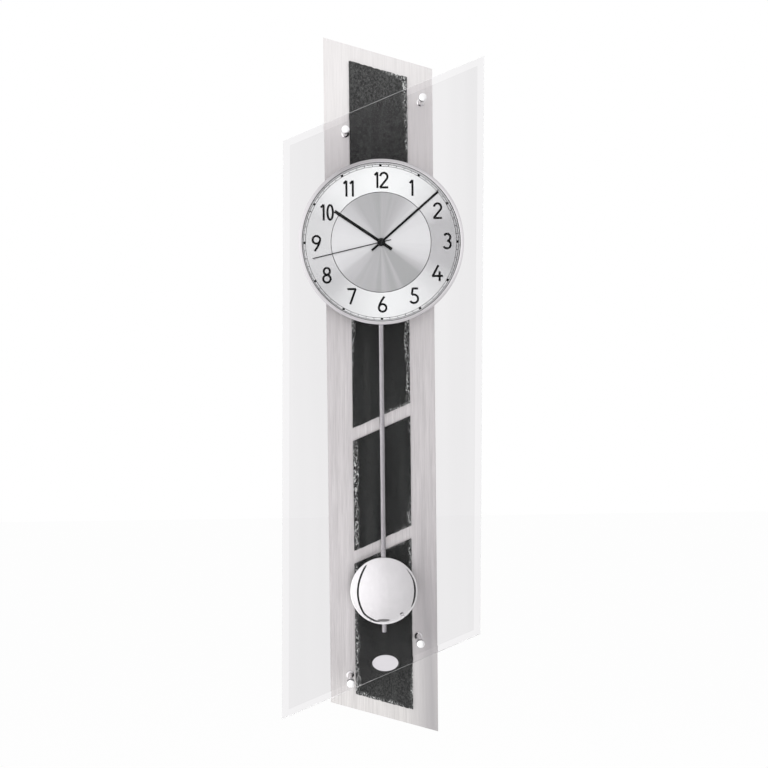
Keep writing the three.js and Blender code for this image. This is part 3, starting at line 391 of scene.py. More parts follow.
def block(low, high):
    """A block between two corners, in millimetres."""
    bpy.ops.object.select_all(action="DESELECT")
    middle = [(a + b) / 2 * mm for a, b in zip(low, high)]
    size = [(b - a) * mm for a, b in zip(low, high)]
    bpy.ops.mesh.primitive_cube_add(size=1, location=middle, scale=size)
    piece = bpy.context.object
    settle(piece)
    return piece


wall_gap = 0.01  # keeps what rests on the wall clear of its plane
corner_round, edge_round = 2.5, 0.18
entry_y, entry_radius, entry_lip = 113, 5, 0.3
slot_y, slot_radius = 123.6, 2.4
cut_foot, cut_top = -1, 3  # a cutter reaches past both faces of the plate
plate_low, plate_high = flat_box("hanger_plate")
plate = block(plate_low + Vector((0, 0, wall_gap)), plate_high)
pick_edges(plate, lambda a, b: abs(a.z - b.z) > 1 * mm)
bpy.ops.mesh.bevel(offset=corner_round * mm, segments=6, affect="EDGES")
close()
pick_edges(plate, lambda a, b: abs(a.z - b.z) < 0.01 * mm)
bpy.ops.mesh.bevel(offset=edge_round * mm, segments=2, affect="EDGES")
close()
entry_mouth = entry_radius + entry_lip
entry_profile = [(entry_mouth, cut_foot), (entry_mouth, 0)]
entry_profile += [(entry_radius, entry_lip), (entry_radius, cut_top)]
entry = turned(entry_profile, 64)
entry.location.y = entry_y * mm
slot_end = turned([(slot_radius, cut_foot), (slot_radius, cut_top)], 40)
slot_end.location.y = slot_y * mm
slot_sides = block((-slot_radius, entry_y, cut_foot), (slot_radius, slot_y, cut_top))
holes = [entry, slot_end, slot_sides]
screw_play, screw_sunk = 0.15, 0.05
sink_radius, hole_radius = head_radius + screw_play, shank_radius + screw_play
sink_profile = [(sink_radius, cut_foot), (sink_radius, head_edge + screw_sunk)]
sink_profile += [(hole_radius, head_depth + screw_sunk), (hole_radius, cut_top)]
for node in ("hanger_screw_left", "hanger_screw_right"):
    sink = turned(sink_profile, 40)
    sink.location.xy = foot_of(node).xy
    holes.append(sink)
for hole in holes:
    cut_away(plate, hole)
smooth(plate)
hang(plate, "hanger_plate_pressed", "frame", zinc, "hanger_plate")
for node in ("wall_pad_left", "wall_pad_right"):
    pad_low, pad_high = flat_box(node)
    pad_radius = (pad_high.x - pad_low.x) / 2
    pad_foot = [(pad_radius - 0.8, wall_gap), (pad_radius - 0.3, 0.1), (pad_radius - 0.05, 0.4)]
    pad = turned(pad_foot + [(pad_radius, 0.8), (pad_radius, pad_high.z)], 56)
    pad.location = foot_of(node)
    smooth(pad, 50)
    hang(pad, node + "_moulded", "frame", rubber, node)
hanger_screw = countersunk_screw(8)
for node in ("hanger_screw_left", "hanger_screw_right"):
    screw = copied(hanger_screw)
    screw.location = foot_of(node)
    hang(screw, node + "_cross", "frame", zinc, node)
bpy.data.objects.remove(hanger_screw)


# Slate plates
# Four plates of riven slate, split along its bed so that the face keeps low steps, and nibbled along
# the edges. They are glued to the facing in a row, with slanted joints between them.
slate, shader, place = finish("riven_slate", {"Specular IOR Level": 0.22})
beds = grain(place, (70, 70, 40), 6)
grit = grain(place, (1000, 1000, 700), 4)
mica_and_glints = spread(grain(place, (1700, 1700, 1700), 2), 0.58, 0.68)
height = along(place, "Z")
# Painted light: the top and foot plates, out from under the glass, are painted lighter than the middle
# plates, which carry painted shade.
painted_light_by_height = spread(height, -0.10, 0.02) + spread(height, -0.50, -0.60) * 0.7
blotches = grain(place, (640, 640, 430), 4)
pale_streaks = grain(place, (70, 70, 5), 3)
near_edge = place.node("ShaderNodeAttribute", {"attribute_name": "edge"}, {}, "Fac")
# Painted glints: pale split lines along the flaked edges stand in for highlights on the stone.
glint_flaking = spread(near_edge + (grain(place, (34, 34, 15), 2) - 0.5) * 2, 0.6, 0.85)
layers = grain(place, (330, 330, 95), 3)
leaves = grain(place, (620, 620, 230), 3)
splits = spread(abs(layers - 0.5), 0.026, 0.008) + spread(abs(leaves - 0.5), 0.026, 0.008) * 0.7
chips = spread(grain(place, (800, 800, 420), 2), 0.42, 0.54)
glints = spread(splits * glint_flaking * (chips * 0.7 + 0.3), 0, 1)
stone = mixed(spread(beds, 0.35, 0.66), tone("#0f1010"), tone("#1c1d1d"))
stone = mixed(spread(pale_streaks, 0.42, 0.62) * 0.7, stone, tone("#353736"))
stone = mixed(painted_light_by_height * 0.42, stone, tone("#474647"))
stone = mixed(spread(blotches, 0.46, 0.66) * (painted_light_by_height * 0.3 + 0.12), stone, tone("#5c5d5c"))
stone = mixed(spread(blotches, 0.5, 0.36) * 0.55, stone, tone("#0c0d0d"))
# Pale mica flecks, partly the stone's own colour and partly painted glints, stronger where the painted
# light falls.
stone = mixed(mica_and_glints * (painted_light_by_height * 0.26 + 0.08), stone, tone("#9c9d9c"))
stone = mixed(glints, stone, tone("#e8e9e8"))
feed(
    shader,
    colour=stone,
    roughness=spread(grit * 0.5 + beds * 0.5, 0.3, 0.7, 0.42, 0.7),
    normal=relief(grit * 0.3 + beds * 0.3 + blotches * 0.4, 0.9 * mm),
)


def stone_relief(name, size, stops):
    """A cloud pattern of the given grain size for the stone's relief, pressed into steps."""
    pattern = bpy.data.textures.new(name, "CLOUDS")
    pattern.noise_scale = size
    pattern.noise_depth = 3
    pattern.use_color_ramp = True
    fill_ramp(pattern.color_ramp, [(position, (h, h, h, 1)) for position, h in stops])
    return pattern


cleft_steps = [(0.3, 0), (0.42, 0.15), (0.45, 0.4), (0.55, 0.5), (0.57, 0.8), (0.7, 1)]
cleft = stone_relief("cleft", 26 * mm, cleft_steps)
pitted = stone_relief("pitted", 3 * mm, [(0.2, 0), (0.8, 1)])
nibbled = stone_relief("nibbled", 3.6 * mm, [(0.36, 0.02), (0.48, 0.2), (0.58, 0.5), (0.66, 1)])
cleft_depth, pit_depth, nibble_depth = 0.9 * mm, 0.3 * mm, 1.1 * mm
net_cell = 0.65 * mm
wall_steps = [0.7 * mm, 0.8 * mm, 1.2 * mm]  # rows of points down the walls
nibble_reach, flake_reach = 2.2 * mm, 8 * mm
slant_share = 0.93  # the way to a slanted end is a little shorter than straight up or down
skin = 0.1 * mm  # within this depth a point belongs to the face or the back


def press(piece, pattern, depth, way, group):
    """Presses a pattern into the part of a piece that a vertex group names."""
    stamp = piece.modifiers.new("press", "DISPLACE")
    stamp.texture = pattern
    stamp.texture_coords = "LOCAL"
    stamp.direction = way
    stamp.mid_level = 0
    stamp.strength = -depth
    stamp.vertex_group = group
    applied(piece, "press")


def riven_plate(node, glint_shares):
    """A plate on its node's corners: a fine net on the face, walls behind it and a nibbled rim.

    The shares say how strongly painted glints show along the flaked left, right, lower and upper sides.
    """
    low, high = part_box(node)
    back, front = -high.y, -low.y
    corners = [v.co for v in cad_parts[node].data.vertices]
    ends = []
    for side in (low.x, high.x):
        heights = [c.z - hands_axis_z for c in corners if abs(c.x - side) < 1e-5]
        ends.append((min(heights), max(heights)))
    (left_low, left_high), (right_low, right_high) = ends
    bpy.ops.object.select_all(action="DESELECT")
    bpy.ops.mesh.primitive_plane_add(size=1)
    piece = bpy.context.object
    places = [(low.x, left_low), (high.x, right_low), (low.x, left_high), (high.x, right_high)]
    for vertex, (x, y) in zip(piece.data.vertices, places):
        vertex.co = (x, y, front)
    width = high.x - low.x
    for upright, length in ((True, left_high - left_low), (False, width)):
        pick_edges(piece, lambda a, b: (abs(a.x - b.x) < 1e-6) == upright)
        bpy.ops.mesh.subdivide(number_cuts=int(length / net_cell))
        bpy.ops.object.mode_set(mode="OBJECT")
    edit(piece)
    bpy.ops.mesh.region_to_loop()
    for drop in wall_steps + [front - back - sum(wall_steps)]:
        bpy.ops.mesh.extrude_edges_move(TRANSFORM_OT_translate={"value": (0, 0, -drop)})
    bpy.ops.mesh.edge_face_add()
    close()
    face, rim = (piece.vertex_groups.new(name=n) for n in ("face", "rim"))
    closeness = []
    for vertex in piece.data.vertices:
        x, y, z = vertex.co
        share = (x - low.x) / width
        below = y - left_low - (right_low - left_low) * share
        above = left_high + (right_high - left_high) * share - y
        gaps = (x - low.x, high.x - x, below * slant_share, above * slant_share)
        closeness.append(max(0, *(part * (1 - gap / flake_reach) for part, gap in zip(glint_shares, gaps))))
        if z > front - skin:
            face.add([vertex.index], 1, "REPLACE")
        if z > back + skin:
            rim.add([vertex.index], max(0, 1 - min(gaps) / nibble_reach), "REPLACE")
    piece.data.attributes.new("edge", "FLOAT", "POINT").data.foreach_set("value", closeness)
    press(piece, nibbled, nibble_depth, "NORMAL", "rim")
    press(piece, cleft, cleft_depth, "Z", "face")
    press(piece, pitted, pit_depth, "Z", "face")
    smooth(piece, 50)
    return piece


# How strongly painted glints show along each plate's flaked left, right, lower and upper sides.
glint_sides = {
    "slate_top": (0.45, 1.1, 0.3, 0.8),
    "slate_upper": (0.7, 1.7, 0.9, 0.5),
    "slate_lower": (1.4, 0.6, 0.6, 0.5),
    "slate_bottom": (1.05, 0.85, 0.9, 0.6),
}
for node, glint_shares in glint_sides.items():
    hang(riven_plate(node, glint_shares), node + "_riven", "frame", slate, node)


# Stand-offs
# Four turned and chromed posts hold the glass clear of the slate. A screw from behind the board holds
# each post, and a domed cap with a stud clamps the glass on it through a clear bush.
chrome, shader, place = finish("polished_chrome", {"Metallic": 1.0})
smear = grain(place, (240, 240, 160), 4)
feed(
    shader,
    colour=mixed(smear, tone("#f0eff0"), tone("#fbfafb")),
    roughness=spread(smear, 0.35, 0.75, 0.02, 0.07),
)
clear_plastic, shader, place = finish("clear_bush", {"Transmission Weight": 1.0, "IOR": 1.3})
haze = grain(place, (900, 900, 900), 3)
feed(
    shader,
    colour=mixed(haze, tone("#e6eae8"), tone("#f4f6f5")),
    roughness=spread(haze, 0.3, 0.7, 0.08, 0.2),
)
post_low, post_high = flat_box("standoff_post_top_left")
post_length, collar, shaft = post_high.z - post_low.z, (post_high.x - post_low.x) / 2, 2.6
screw_bore = [(1.43, 10.2), (1.43, 0)]
stud_bore = [(1.64, post_length), (1.64, post_length - 8.3)]
post_foot = [(collar - 0.3, 0), (collar, 0.3), (collar, 1.9), (collar - 0.15, 2.2), (collar - 0.6, 2.5)]
post_foot += [(shaft + 0.2, 3), (shaft, 3.6)]
post_head = [(radius, post_length - height) for radius, height in reversed(post_foot)]
post = turned(screw_bore + post_foot + post_head + stud_bore, 48)
smooth(post, 25)
stud_radius, stud_length = 1.6, 12.9
cap_radius, cap_edge, cap_dome, dome_steps = collar, 0.8, 2, 12
cap_profile = [(stud_radius - 0.4, -stud_length), (stud_radius, 0.4 - stud_length), (stud_radius, 0)]
cap_profile += [(cap_radius - 0.25, 0), (cap_radius, 0.2), (cap_radius, cap_edge - 0.05)]
for step in range(1, dome_steps + 1):
    rise = math.radians(88.8 * step / dome_steps)
    cap_profile.append((cap_radius * math.cos(rise), cap_edge + cap_dome * math.sin(rise)))
cap = turned(cap_profile, 48)
smooth(cap, 25)
post_screw = countersunk_screw(20)
for corner in ("top_left", "top_right", "bottom_left", "bottom_right"):
    for pattern, part, slot, material in (
        (post, "standoff_post_", "chrome", chrome),
        (cap, "standoff_cap_", "chrome", chrome),
        (post_screw, "standoff_screw_", "steel", zinc),
    ):
        node = part + corner
        piece = copied(pattern)
        piece.location = foot_of(node)
        if pattern == cap:
            piece.location.z = (flat_box(node)[1].z - cap_edge - cap_dome) * mm
        hang(piece, node + "_turned", "frame", material, node)
    dress(clear_plastic, "glass_bush_" + corner)
for pattern in (post, cap, post_screw):
    bpy.data.objects.remove(pattern)


# Glass pane
# A slanted pane of clear float glass with a wide bevel ground round its front and polished. It is
# drilled for the four bushes and for the movement's tube.
def clear_glass(name, ior, colour, passed, worked=None):
    """Glass that lets the passed share of lamp light through to what it stands in front of."""
    material, shader, place = finish(name, {"Transmission Weight": 1.0, "IOR": ior, "Roughness": 0.0})
    feed(shader, colour=colour(place))
    tree = material.node_tree
    solid = Shade(shader.outputs["BSDF"])
    if worked:
        solid = worked(place, solid)
    path = Shade(tree.nodes.new("ShaderNodeLightPath").outputs["Is Shadow Ray"])
    passing = path.maths("MAXIMUM", path, path.node("ShaderNodeLightPath", {}, {}, "Is Diffuse Ray"))
    clear = path.node("ShaderNodeBsdfTransparent", {}, {"Color": (passed, passed, passed, 1)})
    shown = passing.node("ShaderNodeMixShader", {}, {0: passing, 1: solid, 2: clear})
    tree.links.new(shown.output, tree.nodes["Material Output"].inputs["Surface"])
    return material


def pane_colour(place):
    """A faint grey with drawn streaks on the flat, and clearer on the bevel."""
    drawn = grain(place, (26, 4, 1.2), 2)
    flat = mixed(spread(drawn, 0.3, 0.7), tone("#eae9ea"), tone("#f0eff0"))
    return mixed(spread(abs(facing_way(place, "Y")), 0.99, 0.999), tone("#fcfbfc"), flat)


def ground_sides(place, solid):
    """The pane's broken front edge stays ground, white and matt, and its narrow sides a little hazy."""
    turned_away = abs(facing_way(place, "Y"))
    worked = spread(turned_away, 0.9, 0.85) * spread(turned_away, 0.3, 0.6, 0.06, 0.6)
    frosted = grain(place, (1500, 1500, 1500), 2)
    white = mixed(frosted, tone("#f4f5f5"), tone("#ffffff"))
    matt = worked.node("ShaderNodeBsdfPrincipled", {}, {"Base Color": white, "Roughness": 0.6})
    return worked.node("ShaderNodeMixShader", {}, {0: worked, 1: solid, 2: matt})


pane_glass = clear_glass("pane_glass", 1.11, pane_colour, 0.95, ground_sides)
pane = bpy.data.objects.new("bevelled_pane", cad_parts["glass_pane"].data.copy())
bpy.context.collection.objects.link(pane)
edit(pane)
bpy.ops.mesh.remove_doubles(threshold=0.002 * mm)
bpy.ops.mesh.dissolve_limited(angle_limit=math.radians(0.5))
bpy.ops.mesh.select_mode(type="EDGE")
bpy.ops.mesh.select_all(action="DESELECT")
bpy.ops.mesh.edges_select_sharp(sharpness=math.radians(60))
bpy.ops.object.mode_set(mode="OBJECT")
pane_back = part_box("glass_pane")[1].y
pane_side = 100 * mm  # sides are longer than this, and the edges of holes shorter
broken_edge = 0.3 * mm
for edge in pane.data.edges:
    first, second = (pane.data.vertices[i].co for i in edge.vertices)
    in_front = max(first.y, second.y) < pane_back - 0.5 * mm
    edge.select = edge.select and in_front and (first - second).length > pane_side
bpy.ops.object.mode_set(mode="EDIT")
bpy.ops.mesh.bevel(offset=broken_edge, segments=1, affect="EDGES")
close()
bpy.ops.object.shade_flat()
fit(pane, "bevelled_pane", "frame", pane_glass, "glass_pane")


# Bare oval plate
# A small oval of satin aluminium with a raised edge, stuck with white foam on the front of the glass
# below the bob.
satin, shader, place = finish("satin_aluminium", {})
matt = grain(place, (1500, 1500, 1500), 3)
foam = spread(facing_way(place, "Y"), 0.6, 0.8)
feed(
    shader,
    colour=mixed(foam, mixed(matt, tone("#c9c6ca"), tone("#d9d6da")), tone("#f2f2f0")),
    metallic=1 - foam,
    roughness=spread(matt, 0.3, 0.7, 0.3, 0.42) + foam * 0.4,
    normal=relief(matt, 0.015 * mm),
)
oval_wide, oval_high, oval_y = 12.85, 8.05, -414.3  # half its width and height, and its place
oval_edge, oval_face, glue_gap = 0.4, 0.25, 0.02
oval_profile = [(oval_high - 0.15, 0), (oval_high, 0.12), (oval_high, oval_edge - 0.1)]
oval_profile += [(oval_high - 0.15, oval_edge), (oval_high - 0.5, oval_edge)]
oval_profile += [(oval_high - 0.65, oval_face), (oval_high - 0.75, oval_face)]
oval = turned(oval_profile, 96)
oval.scale.x = oval_wide / oval_high
oval.location = (0, oval_y * mm, (flat_box("glass_pane")[1].z + glue_gap) * mm)
smooth(oval, 25)
hang(oval, "oval_plate", "frame", satin)


# Dial case, bezel and lens
# A spun aluminium case with a satin rim sits on the front of the glass. A flat lens lies in its
# rebate and a bezel closes it. A thin black ring between bezel and lens stands in for the shadow line
# round the dial's edge.
def dial_direction(place):
    """The direction from the hands' axis, in radians clockwise from twelve, and the distance from it."""
    kind = "ShaderNodeVectorMath"
    offset = place.node(kind, {"operation": "SUBTRACT"}, {0: place, 1: (0, 0, hands_axis_z)})
    offset = offset.node(kind, {"operation": "MULTIPLY"}, {0: offset, 1: (1, 0, 1)})
    reach = offset.node(kind, {"operation": "LENGTH"}, {0: offset}, "Value")
    across = along(offset, "X")
    return across.maths("ARCTAN2", across, along(offset, "Z")), reach


def lobe(angle, turn, width):
    """1 in the given direction, falling to 0 at the given width to both sides, in degrees."""
    away = angle - math.radians(turn)
    return spread(away.maths("COSINE", away), math.cos(math.radians(width)), 1)


def lined(value, count, detail=3.0):
    """Noise along one value, with so many lines to its unit."""
    noise = {"W": value, "Scale": count, "Detail": detail}
    return value.node("ShaderNodeTexNoise", {"noise_dimensions": "1D"}, noise)


rim_satin, shader, place = finish("spun_rim", {"Metallic": 1.0})
angle, reach = dial_direction(place)
rings = lined(reach, 5200.0, 2.0)
# Painted sheen: the turned rim is painted lighter at the sides, below and to the upper right, where its
# grain would catch the light.
painted_rim_sheen = lobe(angle, 90, 62) + lobe(angle, -90, 62)
painted_rim_sheen = painted_rim_sheen + lobe(angle, 180, 50) * 0.45 + lobe(angle, 22, 40) * 0.4 + (rings - 0.5) * 0.3
satin_and_painted_sheen = mixed(spread(painted_rim_sheen, 0, 1), tone("#a8a5a8"), tone("#dad7da"))
inward = along(place, "X") * facing_way(place, "X")
inward = inward + (along(place, "Z") - hands_axis_z) * facing_way(place, "Z")
polished = spread(inward / reach, -0.3, -0.7)
feed(
    shader,
    colour=mixed(polished, satin_and_painted_sheen, tone("#f8f7f8")),
    roughness=spread(rings, 0.3, 0.7, 0.24, 0.36) * (1 - polished) + polished * 0.2,
    normal=relief(rings, 0.01 * mm),
)


dial_sides = 180


def spun(section):
    """A ring spun about the z axis from a closed section of radius and height in millimetres."""
    bpy.ops.object.select_all(action="DESELECT")
    bpy.ops.mesh.primitive_circle_add(vertices=len(section), radius=1, fill_type="NOTHING")
    piece = bpy.context.object
    for vertex, (radius, height) in zip(piece.data.vertices, section):
        vertex.co = (radius * mm, 0, height * mm)
    only(piece)
    bpy.ops.object.mode_set(mode="EDIT")
    bpy.ops.mesh.select_all(action="SELECT")
    bpy.ops.mesh.spin(steps=dial_sides, angle=2 * math.pi, center=(0, 0, 0), axis=(0, 0, 1))
    close()
    return piece


case_low, case_high = flat_box("dial_case")
rim, case_back, case_front = case_high.x, case_low.z, case_high.z
tube_hole, hollow, bore, rebate = 4.4, 71.6, 76.6, 78.2  # radii from the middle outwards
case_floor, dial_ledge, lens_ledge = 55.8, 58.4, 65.85  # depths from the back forwards
case_section = [(tube_hole, case_back), (rim - 0.3, case_back), (rim, case_back + 0.3), (rim, case_front)]
case_section += [(rebate, case_front), (rebate, lens_ledge), (bore, lens_ledge), (bore, dial_ledge)]
case_section += [(hollow, dial_ledge), (hollow, case_floor), (tube_hole, case_floor)]
case = spun(case_section)
smooth(case, 30)
hang(case, "dial_case_spun", "frame", rim_satin, "dial_case")
bezel_low, bezel_high = flat_box("bezel_ring")
foot, top, opening = bezel_low.z, bezel_high.z, 77
bezel_section = [(opening, foot), (rim, foot), (rim, top - 0.65), (rim - 0.1, top - 0.35)]
bezel_section += [(rim - 0.35, top - 0.1), (rim - 0.7, top), (opening + 0.5, top)]
bezel_section += [(opening + 0.2, top - 0.1), (opening + 0.05, top - 0.25), (opening, top - 0.45)]
bezel = spun(bezel_section)
smooth(bezel, 30)
hang(bezel, "bezel_spun", "frame", rim_satin, "bezel_ring")
moulding, shader, place = finish("black_moulding", {"Specular IOR Level": 0.4})
eroded = grain(place, (3200, 3200, 3200), 3)
flow = grain(place, (60, 60, 60), 2)
feed(
    shader,
    colour=mixed(flow, tone("#1a1b1c"), tone("#25262a")),
    roughness=spread(eroded, 0.3, 0.7, 0.42, 0.62),
    normal=relief(eroded, 0.03 * mm),
)
# A black ring put where the shadow line round the dial falls: a dark part standing in for shade.
shadow_ring_inner, shadow_ring_top = 76.45, 69.2
shadow_ring_section = [(shadow_ring_inner, foot), (opening, foot), (opening, shadow_ring_top - 0.1), (opening - 0.1, shadow_ring_top)]
shadow_ring_section += [(shadow_ring_inner + 0.1, shadow_ring_top), (shadow_ring_inner, shadow_ring_top - 0.1)]
shadow_ring = spun(shadow_ring_section)
smooth(shadow_ring)
hang(shadow_ring, "shadow_line_ring", "frame", moulding)


def lens_colour(place):
    """Nearly white, a little uneven."""
    return mixed(grain(place, (30, 30, 30), 2), tone("#f7f9f8"), tone("#fdfefe"))


dress(clear_glass("lens_glass", 1.1, lens_colour, 0.99), "dial_lens")


# Dial
# A silvered chapter plate lies on the case's ledge, brushed outwards from the middle, and a disc with
# a fine turned grain is set on it. Their bright and dark wedges are painted sheen. Figures, minute
# track and the line round the disc are printed.
silvered, shader, place = finish("silvered_plate", {"Metallic": 0.88})
angle, _ = dial_direction(place)
rays = lined(angle, 140.0)
# Painted sheen: bright wedges at twelve and six and a weaker one at nine stand in for the brushed plate
# catching the light.
painted_sheen = lobe(angle, 3, 70) + lobe(angle, 170, 62) * 0.8 + lobe(angle, -80, 55) * 0.34
silver_and_painted_sheen = mixed(spread(painted_sheen + (rays - 0.5) * 0.08, 0, 0.95), tone("#bdbabd"), tone("#f4f2f4"))
feed(shader, colour=silver_and_painted_sheen, roughness=spread(rays, 0.3, 0.7, 0.22, 0.27))
arbor_hole = 2.8


def dial_disc(node, edge_wide, edge_deep):
    """A disc on its node's radius and depths, with a hole for the arbors and a broken front edge."""
    low, high = flat_box(node)
    radius, foot, top = high.x, low.z, high.z
    edge = [(radius, foot), (radius, top - edge_deep), (radius - edge_wide, top)]
    return spun([(arbor_hole, foot)] + edge + [(arbor_hole, top)])


chapter = dial_disc("dial_plate", 0.1, 0.05)
smooth(chapter, 20)
hang(chapter, "chapter_plate", "frame", silvered, "dial_plate")
turned_grain, shader, place = finish("turned_grain", {"Metallic": 0.9})
angle, reach = dial_direction(place)
circles = lined(reach, 3600.0, 2.0)
fans = lined(angle, 5.0, 1.0)
needles = lined(angle, 46.0, 2.0)
# Painted sheen: the turned disc is painted bright to the right and left and dark at twelve, six and about
# half past four, where its grain would catch or miss the light.
right_glow, left_glow = lobe(angle, 78, 58), lobe(angle, -88, 58) * 0.88
uneven = (fans - 0.5) * 0.35 + (needles - 0.5) * 0.12 + (circles - 0.5) * 0.08
painted_sheen = angle.maths("MAXIMUM", right_glow, left_glow) - lobe(angle, 138, 20) * 0.3 + uneven
painted_sheen_tones = {
    "stops": [
        (0, tone("#acaaac")),
        (0.14, tone("#b9b6b9")),
        (0.36, tone("#c2bfc2")),
        (0.64, tone("#d5d2d5")),
        (0.96, tone("#e2dfe2")),
    ]
}
feed(
    shader,
    colour=painted_sheen.node("ShaderNodeValToRGB", painted_sheen_tones, {0: spread(painted_sheen, -0.1, 1)}),
    roughness=spread(circles, 0.3, 0.7, 0.3, 0.42),
    normal=relief(circles, 0.006 * mm),
)
disc = dial_disc("centre_disc", 0.15, 0.1)
smooth(disc)
hang(disc, "centre_disc_turned", "frame", turned_grain, "centre_disc")
ink, shader, place = finish("dial_ink", {"Specular IOR Level": 0.08})
body = grain(place, (1600, 1600, 1600), 3)
feed(
    shader,
    colour=mixed(body, tone("#0a0a0b"), tone("#141415")),
    roughness=spread(body, 0.3, 0.7, 0.5, 0.65),
)
print_height, print_gap = 0.06, 0.01
print_foot = flat_box("dial_plate")[1].z + print_gap


def arc(x, y, wide, high, start, end, steps=22):
    """Points along part of an ellipse, with angles in degrees counted anticlockwise from the right."""
    turns = [math.radians(start + (end - start) * i / steps) for i in range(steps + 1)]
    return [(x + wide * math.cos(t), y + high * math.sin(t)) for t in turns]


# Each figure is drawn in its own height, from 0 at the foot to 1 at the head, about its middle.
strokes = {
    "0": [arc(0, 0.5, 0.17, 0.455, 90, 450, 40)],
    "1": [[(-0.13, 0.80), (0.045, 0.985)], [(0.045, 1), (0.045, 0)]],
    "2": [arc(0, 0.71, 0.225, 0.245, 172, -32) + [(-0.25, 0.045)], [(-0.27, 0.045), (0.27, 0.045)]],
    "3": [arc(-0.01, 0.735, 0.2, 0.22, 150, -90), arc(-0.02, 0.28, 0.235, 0.235, 90, -152)],
    "4": [[(0.06, 1), (-0.32, 0.30)], [(-0.345, 0.325), (0.345, 0.325)], [(0.13, 0.62), (0.13, 0)]],
    "5": [
        [(0.235, 0.955), (-0.13, 0.955)],
        [(-0.1, 0.98), (-0.165, 0.56)],
        arc(-0.035, 0.31, 0.26, 0.265, 117, -150),
    ],
    "6": [
        arc(0, 0.275, 0.235, 0.235, 0, 360, 36),
        [(-0.225, 0.34), (-0.17, 0.52), (-0.05, 0.75), (0.12, 0.985)],
    ],
    "7": [[(-0.27, 0.955), (0.27, 0.955)], [(0.25, 0.965), (-0.1, 0)]],
    "8": [arc(0, 0.745, 0.19, 0.21, 90, 450, 36), arc(0, 0.275, 0.23, 0.235, 90, 450, 36)],
    "9": [
        arc(0, 0.725, 0.235, 0.235, 0, 360, 36),
        [(0.225, 0.66), (0.17, 0.48), (0.05, 0.25), (-0.12, 0.015)],
    ],
}
# The middle of each figure from the hands' axis, to the right and upwards, in millimetres.
figure_places = {
    "12": (-0.2, 60.3), "1": (30.4, 52.5), "2": (55.4, 30.2), "3": (64.6, 0.6), "4": (54.8, -30.6),
    "5": (32, -52.4), "6": (0.8, -60.4), "7": (-29.2, -52.4), "8": (-53.2, -31.6), "9": (-63, -0.6),
    "10": (-52.8, 29.4), "11": (-30.8, 52.3),
}
figure_height, stroke_width = 15.6, 2.1
digit_pitch = {"10": 0.45, "11": 0.4, "12": 0.45}  # between a figure's two digits, in its own height
figure_lines = []
for figure, (x, y) in figure_places.items():
    pitch = digit_pitch.get(figure, 0)
    for order, digit in enumerate(figure):
        middle = x + (order - 0.5) * pitch * figure_height
        for stroke in strokes[digit]:
            points = [(middle + px * figure_height, y + (py - 0.5) * figure_height) for px, py in stroke]
            figure_lines.append([(px * mm, py * mm, 0) for px, py in points])


def drawn_lines(name, lines, thickness, ends=1.0):
    """Round lines of one thickness, or thinner at their ends, through points in metres, as one mesh."""
    drawing = bpy.data.curves.new(name, "CURVE")
    drawing.dimensions = "3D"
    drawing.bevel_depth = thickness / 2
    drawing.bevel_resolution = 2
    drawing.use_fill_caps = True
    for line in lines:
        spline = drawing.splines.new("POLY")
        spline.points.add(len(line) - 1)
        for point, place in zip(spline.points, line):
            point.co = (*place, 1)
        spline.points[0].radius = spline.points[-1].radius = ends
    drawn = bpy.data.objects.new(name, drawing)
    bpy.context.collection.objects.link(drawn)
    only(drawn)
    bpy.ops.object.convert(target="MESH")
    return bpy.context.object


figures = drawn_lines("figures", figure_lines, stroke_width * mm)
figures.scale.z = print_height / stroke_width
figures.location.z = (print_foot + print_height / 2) * mm
smooth(figures, 60)
hang(figures, "dial_figures", "frame", ink)


def printed_mark(wide, long, radius, count):
    """Upright marks of the given size round the dial, made at twelve and spun into place."""
    low = (-wide / 2, radius - long / 2, print_foot)
    marks = block(low, (wide / 2, radius + long / 2, print_foot + print_height))
    edit(marks)
    bpy.ops.mesh.spin(steps=count, dupli=True, angle=2 * math.pi, center=(0, 0, 0), axis=(0, 0, 1))
    close()
    return marks


def printed_line(radius, wide):
    """A line of the given width round the dial."""
    inner, outer, top = radius - wide / 2, radius + wide / 2, print_foot + print_height
    return spun([(inner, print_foot), (outer, print_foot), (outer, top), (inner, top)])


track_radius, track_wide, line_wide = 74.6, 2, 0.38
minute_wide, hour_mark = 0.5, 2.4
disc_line_radius, disc_line_wide = flat_box("centre_disc")[1].x + 0.25, 0.6
track = [
    printed_line(track_radius - track_wide / 2, line_wide),
    printed_line(track_radius + track_wide / 2, line_wide),
    printed_mark(minute_wide, track_wide, track_radius, 60),
    printed_mark(hour_mark, hour_mark, track_radius, 12),
    printed_line(disc_line_radius, disc_line_wide),
]
only(track[0])
for line in track[1:]:
    line.select_set(True)
bpy.ops.object.join()
hang(track[0], "minute_track", "frame", ink)


# Movement
# A quartz movement in a black moulded shell, closed by a cover behind. Its tube comes through glass
# and case, and the nut on it clamps them. Inside are train plate, motor, circuit board and battery.
def grained(name, constants, count, detail, tones, roughness, depth):
    """A finish whose tone, gloss and relief all follow one fine grain."""
    material, shader, place = finish(name, constants)
    speckle = grain(place, (count, count, count), detail)
    dark, light = (tone(code) for code in tones)
    feed(
        shader,
        colour=mixed(speckle, dark, light),
        roughness=spread(speckle, 0.3, 0.7, *roughness),
        normal=relief(speckle, depth),
    )
    return material


